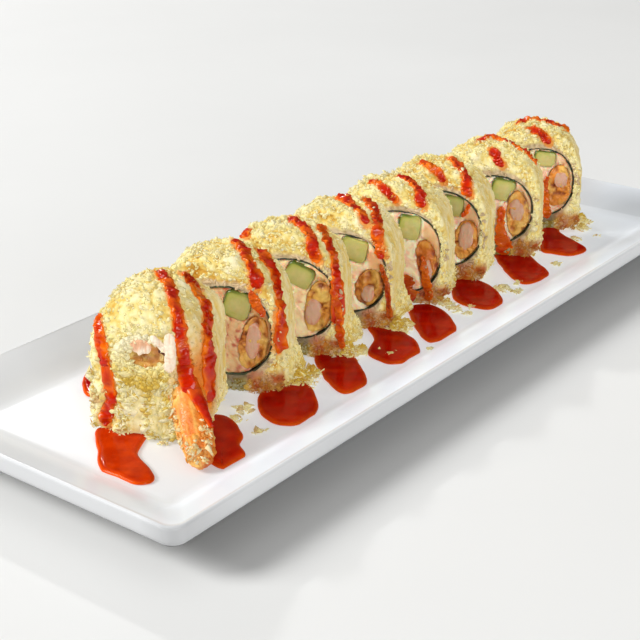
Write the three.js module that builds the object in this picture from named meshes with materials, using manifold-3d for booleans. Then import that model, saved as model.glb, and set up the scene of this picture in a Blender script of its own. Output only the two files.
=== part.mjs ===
// Eight sushi roll pieces in crisp crumbs, with red sauce, on a long white plate.
// Millimetres, +Z up. The origin is the bottom centre of the plate, +X along its length,
// and the cut faces of the pieces look towards -X and the near long edge at -Y.
import * as THREE from "three";
import { mergeVertices } from "three/addons/utils/BufferGeometryUtils.js";
import Module from "manifold-3d";

const wasm = await Module();
wasm.setup();

// Driving dimensions of the plate
const PLATE_LENGTH = 360;
const PLATE_WIDTH = 130;
const PLATE_HEIGHT = 18.4;
const WELL_HEIGHT = 10;
const RIM_RUN = 21;
const PLATE_THICKNESS = 6;
const PLATE_CORNER_RADIUS = 5.5;
const WELL_CORNER_RADIUS = 5;
const LIP_HEIGHT = 5.2;
const FOOT_HEIGHT = 4;
const FOOT_INSET = 34;
const FOOT_RING_WIDTH = 6;

// Clearance between neighbours that touch
const GAP = 0.3;

// Driving dimensions shared by the roll pieces
const NORI_THICKNESS = 0.8;
const NORI_PROUD = 0.4;
const CUT_ROUNDING = 2.2;
const CRUMB_RELIEF = 0.9;
const FOOT_SPREAD_HEIGHT = 16;
const SAUCE_THICKNESS = 1.6;
const POOL_THICKNESS = 1.6;
const LOOP_POINTS = 26;
const POOL_POINTS = 16;
const MOUTH_BULGE = 2.4;
const TAIL_STEPS = 11;
const TAIL_POINTS = 12;

// The pieces from the tail end of the row to the far end. x and y are the middle of the cut
// face on the plate, turn is the angle of the piece seen from above, and side and z are
// measured on the cut face, towards the near edge and up from the well.
const PIECES = [
  {
    x: -132.5, y: -9.5, turn: 28, width: 40, height: 49.3, length: 28, frontRounding: 9,
    arch: 2, nearSpread: 2, farSpread: 6,
    loop: { side: 1, z: 23, halfWidth: 15, halfHeight: 15 },
    cucumber: { side: 3, z: 32, width: 9, height: 8.5, turn: -10 },
    shrimp: { side: 8.5, z: 18, halfWidth: 5.2, halfHeight: 9.5, turn: 8 },
    mouth: { side: -0.5, z: 27.5, halfWidth: 8.4, halfHeight: 8 },
    streaks: [
      { width: 3.8, stops: [[9, 146], [2, 150], [-3, 176], [-4.2, 195], [-2.4, 222]] },
      { width: 3.8, stops: [[24, 93], [14, 77], [5.6, 63], [-0.6, 41], [-2.3, 24], [-3.1, 4]] },
      { width: 4.4, stops: [[25.5, 70], [21.4, 50], [18.5, 32], [10, 20], [6.7, 2], [6.4, -16]] },
    ],
  },
  {
    x: -91.7, y: -3.4, turn: 23, width: 45.5, height: 48.2, length: 21, frontRounding: 2.2,
    arch: 2.2, nearSpread: 8, farSpread: 3,
    loop: { side: 3.6, z: 22.2, halfWidth: 16.2, halfHeight: 15.8 },
    cucumber: { side: 7.6, z: 32, width: 9.6, height: 10, turn: -16 },
    shrimp: { side: 13.2, z: 18.3, halfWidth: 5.4, halfHeight: 10.8, turn: -10 },
    streaks: [
      { width: 4.2, stops: [[18.2, 86], [10.1, 73], [3.6, 61], [-0.2, 49], [-3, 44]] },
      { width: 4.4, stops: [[19.2, 66], [14.5, 52], [9.5, 36], [4, 24], [1.2, 8], [0.9, -6]] },
    ],
  },
  {
    x: -55.8, y: -2.4, turn: 23, width: 44.5, height: 46.5, length: 21, frontRounding: 2.2,
    arch: 2.3, nearSpread: 8, farSpread: 3,
    loop: { side: 4.2, z: 22, halfWidth: 16.4, halfHeight: 15 },
    cucumber: { side: 7.2, z: 31.4, width: 10.5, height: 8.5, turn: -24 },
    shrimp: { side: 14.2, z: 19.6, halfWidth: 5.2, halfHeight: 11, turn: -8 },
    streaks: [
      { width: 4, stops: [[18.1, 92], [11.7, 79], [4.4, 66], [-0.6, 56], [-3, 42]] },
      { width: 4.4, stops: [[18.5, 65], [12.8, 57], [6.7, 43], [2.5, 27], [0, 10], [0.6, -10]] },
      { width: 3.4, stops: [[1.5, 120], [6, 127], [12, 128]] },
    ],
  },
  {
    x: -23.3, y: -2.2, turn: 21, width: 46, height: 46, length: 21, frontRounding: 2.2,
    arch: 2.3, nearSpread: 7, farSpread: 3,
    loop: { side: 4, z: 21.8, halfWidth: 16.3, halfHeight: 15.2 },
    cucumber: { side: 7.6, z: 31.6, width: 10.5, height: 9, turn: -14 },
    shrimp: { side: 14, z: 16.6, halfWidth: 6, halfHeight: 8.2, turn: -12 },
    streaks: [
      { width: 4, stops: [[19, 97], [13.2, 87], [8.1, 77], [2.2, 65], [0.2, 58]] },
      { width: 4.4, stops: [[18.9, 75], [13.9, 65], [7.4, 54], [0.8, 45], [-1.9, 31], [-2.6, 16]] },
    ],
  },
  {
    x: 9.2, y: -5.2, turn: 24, width: 46, height: 47.5, length: 21, frontRounding: 2.2,
    arch: 2.3, nearSpread: 5, farSpread: 3,
    loop: { side: 4, z: 21.2, halfWidth: 16.4, halfHeight: 16.6 },
    cucumber: { side: 7.6, z: 31.8, width: 8.8, height: 10, turn: -8 },
    shrimp: { side: 15.2, z: 17, halfWidth: 4.4, halfHeight: 11, turn: 12 },
    streaks: [
      { width: 3.8, stops: [[10.5, 112], [5.4, 103], [0.2, 94], [-2.4, 89], [-4.6, 82]] },
      { width: 4.2, stops: [[16, 90], [10.4, 78], [3, 65], [-0.8, 60], [-2.2, 52]] },
    ],
  },
  {
    x: 39.6, y: -4.6, turn: 20, width: 46, height: 48, length: 20, frontRounding: 2.2,
    arch: 2.3, nearSpread: 4, farSpread: 3,
    loop: { side: 4.4, z: 22.4, halfWidth: 16.4, halfHeight: 15.6 },
    cucumber: { side: 8.6, z: 32.6, width: 9, height: 8.5, turn: -6 },
    shrimp: { side: 14.6, z: 18.2, halfWidth: 5.2, halfHeight: 9.6, turn: -6 },
    streaks: [
      { width: 3.4, stops: [[7.5, 104], [3.6, 96], [0.6, 90], [-2, 83], [-4.5, 77]] },
      { width: 4, stops: [[15.5, 84], [10.2, 73], [2.7, 60], [-1.2, 50], [-3, 38]] },
    ],
  },
  {
    x: 76.2, y: -9.5, turn: 27, width: 45, height: 47.5, length: 21, frontRounding: 2.2,
    arch: 2.3, nearSpread: 4, farSpread: 3,
    loop: { side: 2.6, z: 21.4, halfWidth: 16, halfHeight: 14.6 },
    cucumber: { side: 6, z: 30.4, width: 10, height: 9.6, turn: -12 },
    shrimp: { side: 12.9, z: 19.4, halfWidth: 5, halfHeight: 11.4, turn: 4 },
    streaks: [
      { width: 3.6, stops: [[2, 90], [-0.6, 86], [-3, 81], [-5.2, 73]] },
      { width: 2.8, stops: [[13, 104], [17.2, 92], [15.4, 77], [13.5, 64], [12.5, 48], [12.2, 35]] },
    ],
  },
  {
    x: 117.8, y: -7.8, turn: 31, width: 42.5, height: 47, length: 21, frontRounding: 2.2,
    arch: 2.3, nearSpread: 3, farSpread: 3,
    loop: { side: 2.6, z: 22.4, halfWidth: 15, halfHeight: 15.4 },
    cucumber: { side: 4.6, z: 33.6, width: 9.5, height: 7, turn: -6 },
    shrimp: { side: 11.2, z: 21, halfWidth: 5.6, halfHeight: 10.4, turn: 0 },
    streaks: [
      { width: 3.2, stops: [[13, 110], [17.4, 96], [15.4, 84], [15, 72], [15.5, 60], [18.5, 47]] },
      { width: 3.4, stops: [[3.5, 97], [0.8, 92], [-1, 85], [-3.2, 76], [-4.6, 70]] },
    ],
  },
];

// The pools of sauce in the well: each outline is a closed curve through these x and y. They
// run under the crumbs of the pieces, where the pieces cut them off.
const POOLS = [
  [[-139, 7], [-150, -4], [-158, -14], [-158, -26], [-154, -31], [-149, -27], [-143, -15], [-133, -8]],
  [[-111, -15], [-107, -22], [-113, -33], [-119, -37], [-124, -43], [-134, -43], [-132, -33], [-121, -18]],
  [[-84, -17], [-95, -24], [-101, -36], [-96, -43], [-85, -42], [-74, -32], [-69, -20], [-76, -14]],
  [[-54, -17], [-63, -28], [-69, -39], [-66, -43], [-56, -42], [-44, -28], [-41, -19], [-47, -14]],
  [[-16, -13], [-26, -23], [-37, -28], [-40, -37], [-36, -43], [-25, -43], [-16, -34], [-9, -14]],
  [[0, -22], [-9, -31], [-15, -40], [-11, -43], [0, -43], [10, -34], [15, -22], [8, -16]],
  [[38, -17], [25.5, -26], [23.5, -35], [26, -42], [34, -43], [42, -37], [47.5, -28], [50, -12]],
  [[88, -6], [72, -18.5], [59, -34], [59, -41], [71, -43], [77, -39], [83.5, -30], [92, -17]],
  [[127, -10], [98, -24], [96, -32], [100, -40], [109, -41], [114.5, -33], [121, -22], [130, -14]],
  [[-106, 42], [-115, 39], [-121, 33], [-124, 27], [-118, 24], [-106, 32]],
];

// The shrimp tail that hangs out of the end piece onto the plate: the middle of its body from
// root to tip, above the well, with its half width and half height there
const TAIL = [
  { x: -119, y: -12.5, z: 23, halfWidth: 5.2, halfHeight: 5.2 },
  { x: -124.3, y: -19.5, z: 16, halfWidth: 5.6, halfHeight: 5.8 },
  { x: -128.5, y: -25, z: 10.6, halfWidth: 5.8, halfHeight: 5.9 },
  { x: -132.5, y: -30.5, z: 6.6, halfWidth: 5.5, halfHeight: 5.2 },
  { x: -136.5, y: -35.5, z: 4, halfWidth: 4.4, halfHeight: 3.3 },
  { x: -140, y: -39.5, z: 2.4, halfWidth: 2.6, halfHeight: 1.6 },
];

// Seeded draws, so that every build gives the same crags
function drawer(seed) {
  let state = seed * 7919 + 104729;
  return () => {
    state = (state * 1664525 + 1013904223) % 4294967296;
    return state / 4294967296;
  };
}

// Joins loops of equal point counts into one closed skin: a ring when wrapped, else capped
function skin(loops, wrapped) {
  const count = loops[0].length;
  const points = loops.flat();
  const faces = [];
  const bands = wrapped ? loops.length : loops.length - 1;
  for (let band = 0; band < bands; band += 1) {
    const here = band * count;
    const next = ((band + 1) % loops.length) * count;
    for (let i = 0; i < count; i += 1) {
      const j = (i + 1) % count;
      faces.push([here + i, here + j, next + j], [here + i, next + j, next + i]);
    }
  }
  if (!wrapped) {
    const last = (loops.length - 1) * count;
    const apex = points.length;
    points.push(middleOf(loops[0]), middleOf(loops.at(-1)));
    for (let i = 0; i < count; i += 1) {
      const j = (i + 1) % count;
      faces.push([j, i, apex], [last + i, last + j, apex + 1]);
    }
  }
  return solid(points, faces);
}

function middleOf(loop) {
  const middle = new THREE.Vector3();
  for (const point of loop) {
    middle.addScaledVector(point, 1 / loop.length);
  }
  return middle;
}

// An indexed geometry of the points and faces, turned so that the faces point out
function solid(points, faces) {
  let volume = 0;
  for (const [a, b, c] of faces) {
    volume += points[a].dot(new THREE.Vector3().crossVectors(points[b], points[c]));
  }
  const geometry = new THREE.BufferGeometry().setFromPoints(points);
  geometry.setIndex(faces.flatMap((face) => (volume < 0 ? [face[0], face[2], face[1]] : face)));
  return geometry;
}

function toManifold(geometry) {
  const bare = geometry.clone();
  bare.deleteAttribute("normal");
  bare.deleteAttribute("uv");
  const merged = mergeVertices(bare, 1e-4);
  return new wasm.Manifold(new wasm.Mesh({
    numProp: 3,
    vertProperties: new Float32Array(merged.attributes.position.array),
    triVerts: new Uint32Array(merged.index.array),
  }));
}

function toGeometry(manifold) {
  const mesh = manifold.getMesh();
  const geometry = new THREE.BufferGeometry();
  const positions = new Float32Array(mesh.vertProperties);
  geometry.setAttribute("position", new THREE.BufferAttribute(positions, 3));
  geometry.setIndex(new THREE.BufferAttribute(new Uint32Array(mesh.triVerts), 1));
  return geometry;
}

// The largest body of a cut, without the slivers beside it
function largest(manifold) {
  const bodies = manifold.decompose();
  bodies.sort((a, b) => b.volume() - a.volume());
  return bodies[0];
}

function angleAt(i, count) {
  return (i / count) * 2 * Math.PI;
}

// A point of a squared oval at an angle, in the plane of the cut face
function ovalPoint(halfWidth, halfHeight, power, angle) {
  const c = Math.cos(angle);
  const s = Math.sin(angle);
  return new THREE.Vector2(
    halfWidth * Math.sign(c) * Math.abs(c) ** (2 / power),
    halfHeight * Math.sign(s) * Math.abs(s) ** (2 / power),
  );
}

// A turned oval outline on the cut face; wobble makes it uneven
function ovalOutline(shape, grow, power, count, wobble = 0, seed = 1) {
  const draw = drawer(seed);
  const turn = THREE.MathUtils.degToRad(shape.turn ?? 0);
  const centre = new THREE.Vector2(shape.side, shape.z);
  const outline = [];
  for (let i = 0; i < count; i += 1) {
    const scale = 1 + wobble * (draw() - 0.5);
    const halfWidth = shape.halfWidth * scale + grow;
    const halfHeight = shape.halfHeight * scale + grow;
    const point = ovalPoint(halfWidth, halfHeight, power, angleAt(i, count));
    outline.push(point.rotateAround(new THREE.Vector2(), turn).add(centre));
  }
  return outline;
}

// A prism along the piece, from an outline on its cut face
function prism(outline, from, to, hole) {
  const shape = new THREE.Shape(outline);
  if (hole) shape.holes.push(new THREE.Path(hole));
  const geometry = new THREE.ExtrudeGeometry(shape, { depth: to - from, bevelEnabled: false });
  const axes = new THREE.Matrix4().makeBasis(
    new THREE.Vector3(0, -1, 0),
    new THREE.Vector3(0, 0, 1),
    new THREE.Vector3(-1, 0, 0),
  );
  geometry.applyMatrix4(axes);
  geometry.translate(to, 0, 0);
  return geometry;
}

// The outer line of a piece's section at an angle: an arch that spreads where it stands, and
// on the near side more so towards the rear
function rim(piece, angle, inset, share) {
  const lower = Math.sin(angle) < 0;
  const half = piece.height / 2;
  const rise = half - inset * (lower ? 0.25 : 1);
  const point = ovalPoint(piece.width / 2 - inset, rise, lower ? 4.5 : piece.arch, angle);
  const z = Math.max(point.y + half, GAP);
  const low = Math.max(1 - z / FOOT_SPREAD_HEIGHT, 0);
  const spread = point.x > 0 ? piece.nearSpread * (0.5 + share) : piece.farSpread;
  return new THREE.Vector2(point.x + Math.sign(point.x) * spread * low * low, z);
}

// A point on the crust: travel runs along the piece, and round its front edge onto the cut face
function crust(piece, travel, angle, lift) {
  const rounding = travel < piece.length / 2 ? piece.frontRounding : CUT_ROUNDING;
  const run = Math.min(travel, piece.length - travel);
  const quarter = (Math.PI / 2) * rounding;
  const arc = Math.min(Math.max(rounding - run, 0), quarter) / rounding;
  const beyond = Math.max(rounding - run - quarter, 0);
  const inset = rounding * (1 - Math.cos(arc)) + beyond - lift * Math.cos(arc);
  const depth = rounding * (1 - Math.sin(arc)) - lift * Math.sin(arc);
  const along = run >= rounding ? run : depth;
  const section = rim(piece, angle, inset, travel / piece.length);
  const x = travel < piece.length / 2 ? along : piece.length - along;
  return new THREE.Vector3(x, -section.x, section.y);
}

// The rice ring with its crumbs: an outer skin that turns onto both cut faces, round a hole
function coatSolid(piece, seed, grow) {
  const draw = drawer(seed);
  const edge = piece.frontRounding;
  const last = piece.length;
  const rear = CUT_ROUNDING;
  const stations = [
    edge * -0.5, edge * 0.3, edge, last * 0.5, last - rear, last - rear * 0.2, last + rear * 0.6,
  ];
  const loops = stations.map((travel) => {
    const loop = [];
    for (let i = 0; i < LOOP_POINTS; i += 1) {
      const relief = (draw() - 0.4) * CRUMB_RELIEF;
      loop.push(crust(piece, travel, angleAt(i, LOOP_POINTS), relief + grow));
    }
    return loop;
  });
  const hole = (shape, x, extra) => ovalOutline(shape, extra, 2.2, LOOP_POINTS)
    .map((point) => new THREE.Vector3(x, -point.x, point.y));
  const wide = NORI_THICKNESS + GAP;
  if (piece.mouth) {
    const shelf = edge + GAP;
    const lip = hole(piece.mouth, 1.5, GAP - grow);
    const clumps = lip.map((point, i) => {
      const clump = point.clone().lerp(loops[0][i], 0.5);
      const low = Math.max(-Math.sin(angleAt(i, LOOP_POINTS)), 0.2);
      clump.x -= low * MOUTH_BULGE * (0.4 + draw()) + grow;
      return clump;
    });
    loops.unshift(hole(piece.loop, shelf, wide), hole(piece.mouth, shelf, GAP - grow), lip, clumps);
  } else {
    loops.unshift(hole(piece.loop, -grow, wide));
  }
  loops.push(hole(piece.loop, last + grow, wide));
  return skin(loops, true);
}

// The sheet of seaweed round the filling
function noriSolid(piece) {
  const outer = ovalOutline(piece.loop, NORI_THICKNESS, 2.2, LOOP_POINTS);
  const inner = ovalOutline(piece.loop, 0, 2.2, LOOP_POINTS).reverse();
  return prism(outer, fillingStart(piece) - NORI_PROUD, piece.length + NORI_PROUD, inner);
}

function fillingStart(piece) {
  return piece.mouth ? piece.frontRounding + 2 * GAP + NORI_PROUD : 0;
}

// The cucumber stick, a block with rounded corners
function cucumberOutline(piece, grow) {
  const { side, z, width, height, turn } = piece.cucumber;
  return ovalOutline({ side, z, halfWidth: width / 2, halfHeight: height / 2, turn }, grow, 5, 16);
}

// The shrimp in its batter, an uneven oval
function shrimpOutline(piece, seed, grow) {
  return ovalOutline(piece.shrimp, grow, 2.2, 18, 0.1, seed + 20);
}

// A filling of this outline, trimmed to the inside of the seaweed and clear of the others
function fitted(piece, outline, others) {
  const start = fillingStart(piece);
  const inside = ovalOutline(piece.loop, -GAP, 2.2, LOOP_POINTS);
  const room = toManifold(prism(inside, start - 1, piece.length + 1));
  const body = toManifold(prism(outline, start, piece.length)).intersect(room);
  return largest(without(body, others, start - GAP, piece.length + 1));
}

// A body less the prisms of these outlines
function without(body, outlines, from, to) {
  return outlines.reduce((rest, outline) => rest.subtract(toManifold(prism(outline, from, to))), body);
}

// The torn flesh that shows in the mouth of the end piece
function fleshPlug(piece, seed) {
  const draw = drawer(seed);
  const { halfWidth, halfHeight } = piece.mouth;
  const stops = [[fillingStart(piece) + 0.5, 1, 0], [3, 1, 0], [0.8, 0.8, 1.4], [-0.4, 0.45, 0.6]];
  const loops = stops.map(([x, scale, ragged]) => {
    const shape = { ...piece.mouth, halfWidth: halfWidth * scale, halfHeight: halfHeight * scale };
    const outline = ovalOutline(shape, 0, 2.2, LOOP_POINTS);
    return outline.map((point) => new THREE.Vector3(x + ragged * (draw() - 0.5), -point.x, point.y));
  });
  return skin(loops, false);
}

// A thick line of sauce on the crust, through stops of travel and angle
function streakSolid(piece, stops, width) {
  const path = new THREE.CatmullRomCurve3(
    stops.map(([travel, degrees]) => new THREE.Vector3(travel, degrees, 0)),
  );
  const steps = Math.round(1.5 * stops.length);
  const at = (share, lift) => {
    const stop = path.getPoint(share);
    return crust(piece, stop.x, THREE.MathUtils.degToRad(stop.y), lift);
  };
  const loops = [];
  for (let step = 0; step <= steps; step += 1) {
    const share = step / steps;
    const low = at(share, -0.8);
    const high = at(share, 0.8);
    const up = high.clone().sub(low).normalize();
    const behind = at(Math.max(share - 0.02, 0), 0);
    const ahead = at(Math.min(share + 0.02, 1), 0).sub(behind).normalize();
    const across = new THREE.Vector3().crossVectors(ahead, up).normalize();
    const taper = 0.55 + 0.45 * Math.sin(Math.PI * Math.min(Math.max(share, 0.1), 0.9));
    const half = (width / 2) * taper;
    const top = low.clone().addScaledVector(up, 0.8 + SAUCE_THICKNESS * taper);
    loops.push([
      low.clone().addScaledVector(across, -half),
      top.clone().addScaledVector(across, -half * 0.55),
      top.clone().addScaledVector(across, half * 0.55),
      low.clone().addScaledVector(across, half),
    ]);
  }
  return skin(loops, false);
}

// The coat with its thick lines of sauce fused on, kept clear of the seaweed
function saucedCoat(piece, seed) {
  const clear = ovalOutline(piece.loop, NORI_THICKNESS + 2 * GAP, 2.2, LOOP_POINTS);
  const core = toManifold(prism(clear, -5, piece.length + 5));
  let body = toManifold(coatSolid(piece, seed, 0));
  for (const { stops, width } of piece.streaks) {
    const streak = toManifold(streakSolid(piece, stops, width));
    body = body.add(piece.mouth ? streak : streak.subtract(core));
  }
  return toGeometry(largest(body));
}

// A pool of sauce with a rounded edge, from its outline, that ends where the rim rises
function poolSolid(outline) {
  const corners = outline.map(([x, y]) => new THREE.Vector3(x, y, WELL_HEIGHT));
  const curve = new THREE.CatmullRomCurve3(corners, true);
  const levels = [[0.5, GAP], [0, GAP + 0.5], [1.4, POOL_THICKNESS]];
  const slope = RIM_RUN + 1;
  const end = new THREE.Vector3(PLATE_LENGTH / 2 - slope, PLATE_WIDTH / 2 - slope, PLATE_HEIGHT);
  const loops = levels.map(([inset, z]) => {
    const loop = [];
    for (let i = 0; i < POOL_POINTS; i += 1) {
      const point = curve.getPoint(i / POOL_POINTS).clamp(end.clone().negate(), end);
      const ahead = curve.getTangent(i / POOL_POINTS);
      loop.push(point.add(new THREE.Vector3(-ahead.y * inset, ahead.x * inset, z)));
    }
    return loop;
  });
  return skin(loops, false);
}

// The battered shrimp tail, an uneven tube along its stops that ends in a flat fin
function tailSolid(grow) {
  const draw = drawer(77);
  const middle = new THREE.CatmullRomCurve3(TAIL.map(({ x, y, z }) => new THREE.Vector3(x, y, z)));
  const sizes = TAIL.map(({ halfWidth, halfHeight }) => new THREE.Vector3(halfWidth, halfHeight, 0));
  const girth = new THREE.CatmullRomCurve3(sizes);
  const up = new THREE.Vector3(0, 0, 1);
  const loops = [];
  for (let step = 0; step <= TAIL_STEPS; step += 1) {
    const centre = middle.getPoint(step / TAIL_STEPS);
    const ahead = middle.getTangent(step / TAIL_STEPS);
    const size = girth.getPoint(step / TAIL_STEPS);
    const across = new THREE.Vector3().crossVectors(ahead, up).normalize();
    const over = new THREE.Vector3().crossVectors(across, ahead).normalize();
    const loop = [];
    for (let i = 0; i < TAIL_POINTS; i += 1) {
      const crag = 0.92 + 0.2 * draw();
      const point = ovalPoint(size.x * crag + grow, size.y * crag + grow, 2, angleAt(i, TAIL_POINTS));
      const place = centre.clone().addScaledVector(across, point.x).addScaledVector(over, point.y);
      place.z = Math.max(place.z, GAP - grow) + WELL_HEIGHT;
      loop.push(place);
    }
    loops.push(loop);
  }
  return skin(loops, false);
}

function material(color, roughness) {
  return new THREE.MeshStandardMaterial({ color, roughness, metalness: 0 });
}

function addMesh(parent, name, geometry, finish) {
  geometry.computeVertexNormals();
  const mesh = new THREE.Mesh(geometry, finish);
  mesh.name = name;
  parent.add(mesh);
}

// The plate: one skin from the recess under it, round the lip, to the flat well
function plateSolid() {
  const rings = [
    [FOOT_INSET + FOOT_RING_WIDTH + 2, WELL_HEIGHT - PLATE_THICKNESS, 3],
    [FOOT_INSET + FOOT_RING_WIDTH, 0, 4],
    [FOOT_INSET, 0, 6],
    [FOOT_INSET - 1.5, FOOT_HEIGHT, 6],
    [RIM_RUN - 1, FOOT_HEIGHT + 2.2, 5],
    [3, PLATE_HEIGHT - LIP_HEIGHT - 1, 4],
    [0.9, PLATE_HEIGHT - LIP_HEIGHT, 4.6],
    [0, PLATE_HEIGHT - LIP_HEIGHT + 1.4, PLATE_CORNER_RADIUS],
    [0, PLATE_HEIGHT - 1.1, PLATE_CORNER_RADIUS],
    [0.35, PLATE_HEIGHT - 0.3, PLATE_CORNER_RADIUS],
    [1.1, PLATE_HEIGHT, 5],
    [2, PLATE_HEIGHT - 0.5, 4.6],
    [RIM_RUN * 0.55, WELL_HEIGHT + 4.3, 5],
    [RIM_RUN * 0.86, WELL_HEIGHT + 1.2, WELL_CORNER_RADIUS],
    [RIM_RUN, WELL_HEIGHT + 0.25, WELL_CORNER_RADIUS],
    [RIM_RUN + 3, WELL_HEIGHT, WELL_CORNER_RADIUS],
  ];
  return skin(rings.map(([inset, z, radius]) => plateRing(inset, z, radius)), false);
}

// A rectangle with rounded corners at one height of the plate
function plateRing(inset, z, radius) {
  const corners = [[1, 1, 0], [-1, 1, 90], [-1, -1, 180], [1, -1, 270]];
  const steps = 5;
  const ring = [];
  for (const [signX, signY, start] of corners) {
    const x = signX * (PLATE_LENGTH / 2 - inset - radius);
    const y = signY * (PLATE_WIDTH / 2 - inset - radius);
    for (let step = 0; step <= steps; step += 1) {
      const angle = THREE.MathUtils.degToRad(start + (90 * step) / steps);
      ring.push(new THREE.Vector3(x + radius * Math.cos(angle), y + radius * Math.sin(angle), z));
    }
  }
  return ring;
}

const model = new THREE.Group();
const finishes = {
  plate: material(0xf2f2ef, 0.15),
  coat: material(0xe8dc98, 0.85),
  nori: material(0x1c1f14, 0.6),
  cucumber: material(0xc4cc88, 0.35),
  crab: material(0xe9c9bb, 0.5),
  shrimp: material(0xd28a3a, 0.6),
  tail: material(0xe58a3c, 0.55),
  sauce: material(0xb01c0a, 0.12),
};
addMesh(model, "plate", plateSolid(), finishes.plate);

const obstacles = [];
PIECES.forEach((piece, index) => {
  const number = index + 1;
  const group = new THREE.Group();
  group.position.set(piece.x, piece.y, WELL_HEIGHT);
  group.rotation.z = THREE.MathUtils.degToRad(piece.turn);
  model.add(group);
  addMesh(group, `roll_${number}_rice_and_crumbs`, saucedCoat(piece, number), finishes.coat);
  group.updateMatrixWorld(true);
  obstacles.push(toManifold(coatSolid(piece, number, GAP).applyMatrix4(group.matrixWorld)));
  addMesh(group, `roll_${number}_nori`, noriSolid(piece), finishes.nori);

  const shrimp = fitted(piece, shrimpOutline(piece, number, 0), []);
  const nearShrimp = shrimpOutline(piece, number, GAP);
  const nearCucumber = cucumberOutline(piece, GAP);
  const cucumber = fitted(piece, cucumberOutline(piece, 0), [nearShrimp]);
  let crab = fitted(piece, ovalOutline(piece.loop, 2, 2.2, LOOP_POINTS), [nearShrimp, nearCucumber]);
  if (piece.mouth) {
    const plug = toManifold(fleshPlug(piece, number));
    const from = fillingStart(piece) - GAP;
    crab = largest(crab.add(without(plug, [nearShrimp, nearCucumber], from, piece.length)));
  }
  addMesh(group, `roll_${number}_shrimp`, toGeometry(shrimp), finishes.shrimp);
  addMesh(group, `roll_${number}_cucumber`, toGeometry(cucumber), finishes.cucumber);
  addMesh(group, `roll_${number}_crab`, toGeometry(crab), finishes.crab);
});

const tail = largest(toManifold(tailSolid(0)).subtract(obstacles[0]));
addMesh(model, "shrimp_tail", toGeometry(tail), finishes.tail);
obstacles.push(toManifold(tailSolid(GAP)));

POOLS.forEach((outline, index) => {
  const whole = toManifold(poolSolid(outline));
  const pool = obstacles.reduce((rest, obstacle) => rest.subtract(obstacle), whole);
  addMesh(model, `sauce_pool_${index + 1}`, toGeometry(largest(pool)), finishes.sauce);
});

export default model;
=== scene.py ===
# %% [markdown]
# This lesson dresses a plate of sushi rolls: eight thick pieces in crisp yellow crumbs, with
# red sauce over them, in a row on a long white plate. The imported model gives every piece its
# place and size. What a plain solid leaves out is made here as meshes: crumbs, grains of
# rice, batter, torn flesh and running sauce.

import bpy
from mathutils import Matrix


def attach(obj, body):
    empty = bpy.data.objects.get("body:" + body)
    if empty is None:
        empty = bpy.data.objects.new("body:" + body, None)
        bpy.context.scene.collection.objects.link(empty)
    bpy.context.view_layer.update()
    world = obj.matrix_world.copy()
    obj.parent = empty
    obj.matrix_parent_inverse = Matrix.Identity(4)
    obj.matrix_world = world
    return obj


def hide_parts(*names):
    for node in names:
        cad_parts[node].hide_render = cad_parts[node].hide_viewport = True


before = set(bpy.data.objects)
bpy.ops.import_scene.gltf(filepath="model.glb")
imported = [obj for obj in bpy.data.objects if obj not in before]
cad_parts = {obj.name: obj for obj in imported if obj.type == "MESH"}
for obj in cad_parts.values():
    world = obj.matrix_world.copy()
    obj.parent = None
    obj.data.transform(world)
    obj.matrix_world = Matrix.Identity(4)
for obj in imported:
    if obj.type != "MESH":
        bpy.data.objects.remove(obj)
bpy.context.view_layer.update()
print("packed nodes:", len(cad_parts))

# %% [markdown]
# Everything below is worked out in millimetres with numpy arrays, because a roll's crust or a
# pile of crumbs is far quicker to bend as one array than point by point. One helper turns an
# array of points and a list of faces into a Blender mesh in metres, and puts it on the plate's
# body. It can also store a colour for every point, which the finishes read later.

# %% A helper that makes a piece from points and faces
import itertools
import math

import bpy
import numpy as np

MM = 0.001


def signed_volume(mesh):
    mesh.calc_loop_triangles()
    corners = np.empty(len(mesh.loop_triangles) * 3, np.int64)
    mesh.loop_triangles.foreach_get("vertices", corners)
    place = np.empty(len(mesh.vertices) * 3)
    mesh.vertices.foreach_get("co", place)
    a, b, c = place.reshape(-1, 3)[corners.reshape(-1, 3)].transpose(1, 0, 2)
    return (a * np.cross(b, c)).sum() / 6


def make_piece(name, points, faces, finish, replaced=(), tint=None, smooth=True):
    mesh = bpy.data.meshes.new(name)
    mesh.from_pydata((np.asarray(points) * MM).tolist(), [], faces)
    mesh.materials.append(finish)
    if tint is not None:
        colours = np.ones((len(points), 4), np.float32)
        colours[:, :3] = tint
        layer = mesh.color_attributes.new("tint", "FLOAT_COLOR", "POINT")
        layer.data.foreach_set("color", colours.ravel())
    mesh.polygons.foreach_set("use_smooth", [smooth] * len(mesh.polygons))
    if signed_volume(mesh) < 0:
        mesh.flip_normals()
    piece = bpy.data.objects.new(name, mesh)
    bpy.context.scene.collection.objects.link(piece)
    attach(piece, "root")
    if replaced:
        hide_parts(*replaced)
    return piece


# %% [markdown]
# Food is never smooth or even, so nearly every surface needs soft random relief. This is value
# noise: each corner of a grid of cells gets a fixed random height, and points in between blend
# the heights of the eight corners round them. The heights come from whole-number arithmetic
# on the corner's place, so every run gives the same lumps.

# %% Lumps of a chosen size
SEED_SHIFT = 31.7
CELL_MIX = np.array([374761393, 668265263, 1103515245])
SEED_MIX = 97463477
BIT_MIX = 1274126177
HALF_RANGE = 32767.5


def lumps(points, size, seed):
    place = np.asarray(points, float) / size + SEED_SHIFT * seed
    cell = np.floor(place).astype(np.int64)
    part = place - cell
    part = part * part * (3 - 2 * part)
    height = np.zeros(place.shape[:-1])
    for corner in itertools.product((0, 1), repeat=3):
        mixed = ((cell + corner) * CELL_MIX).sum(-1) + seed * SEED_MIX
        mixed = (mixed ^ (mixed >> 13)) * BIT_MIX
        mixed = (mixed ^ (mixed >> 16)) & 0xFFFF
        share = np.where(corner, part, 1 - part).prod(-1)
        height += share * (mixed / HALF_RANGE - 1)
    return height


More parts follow.
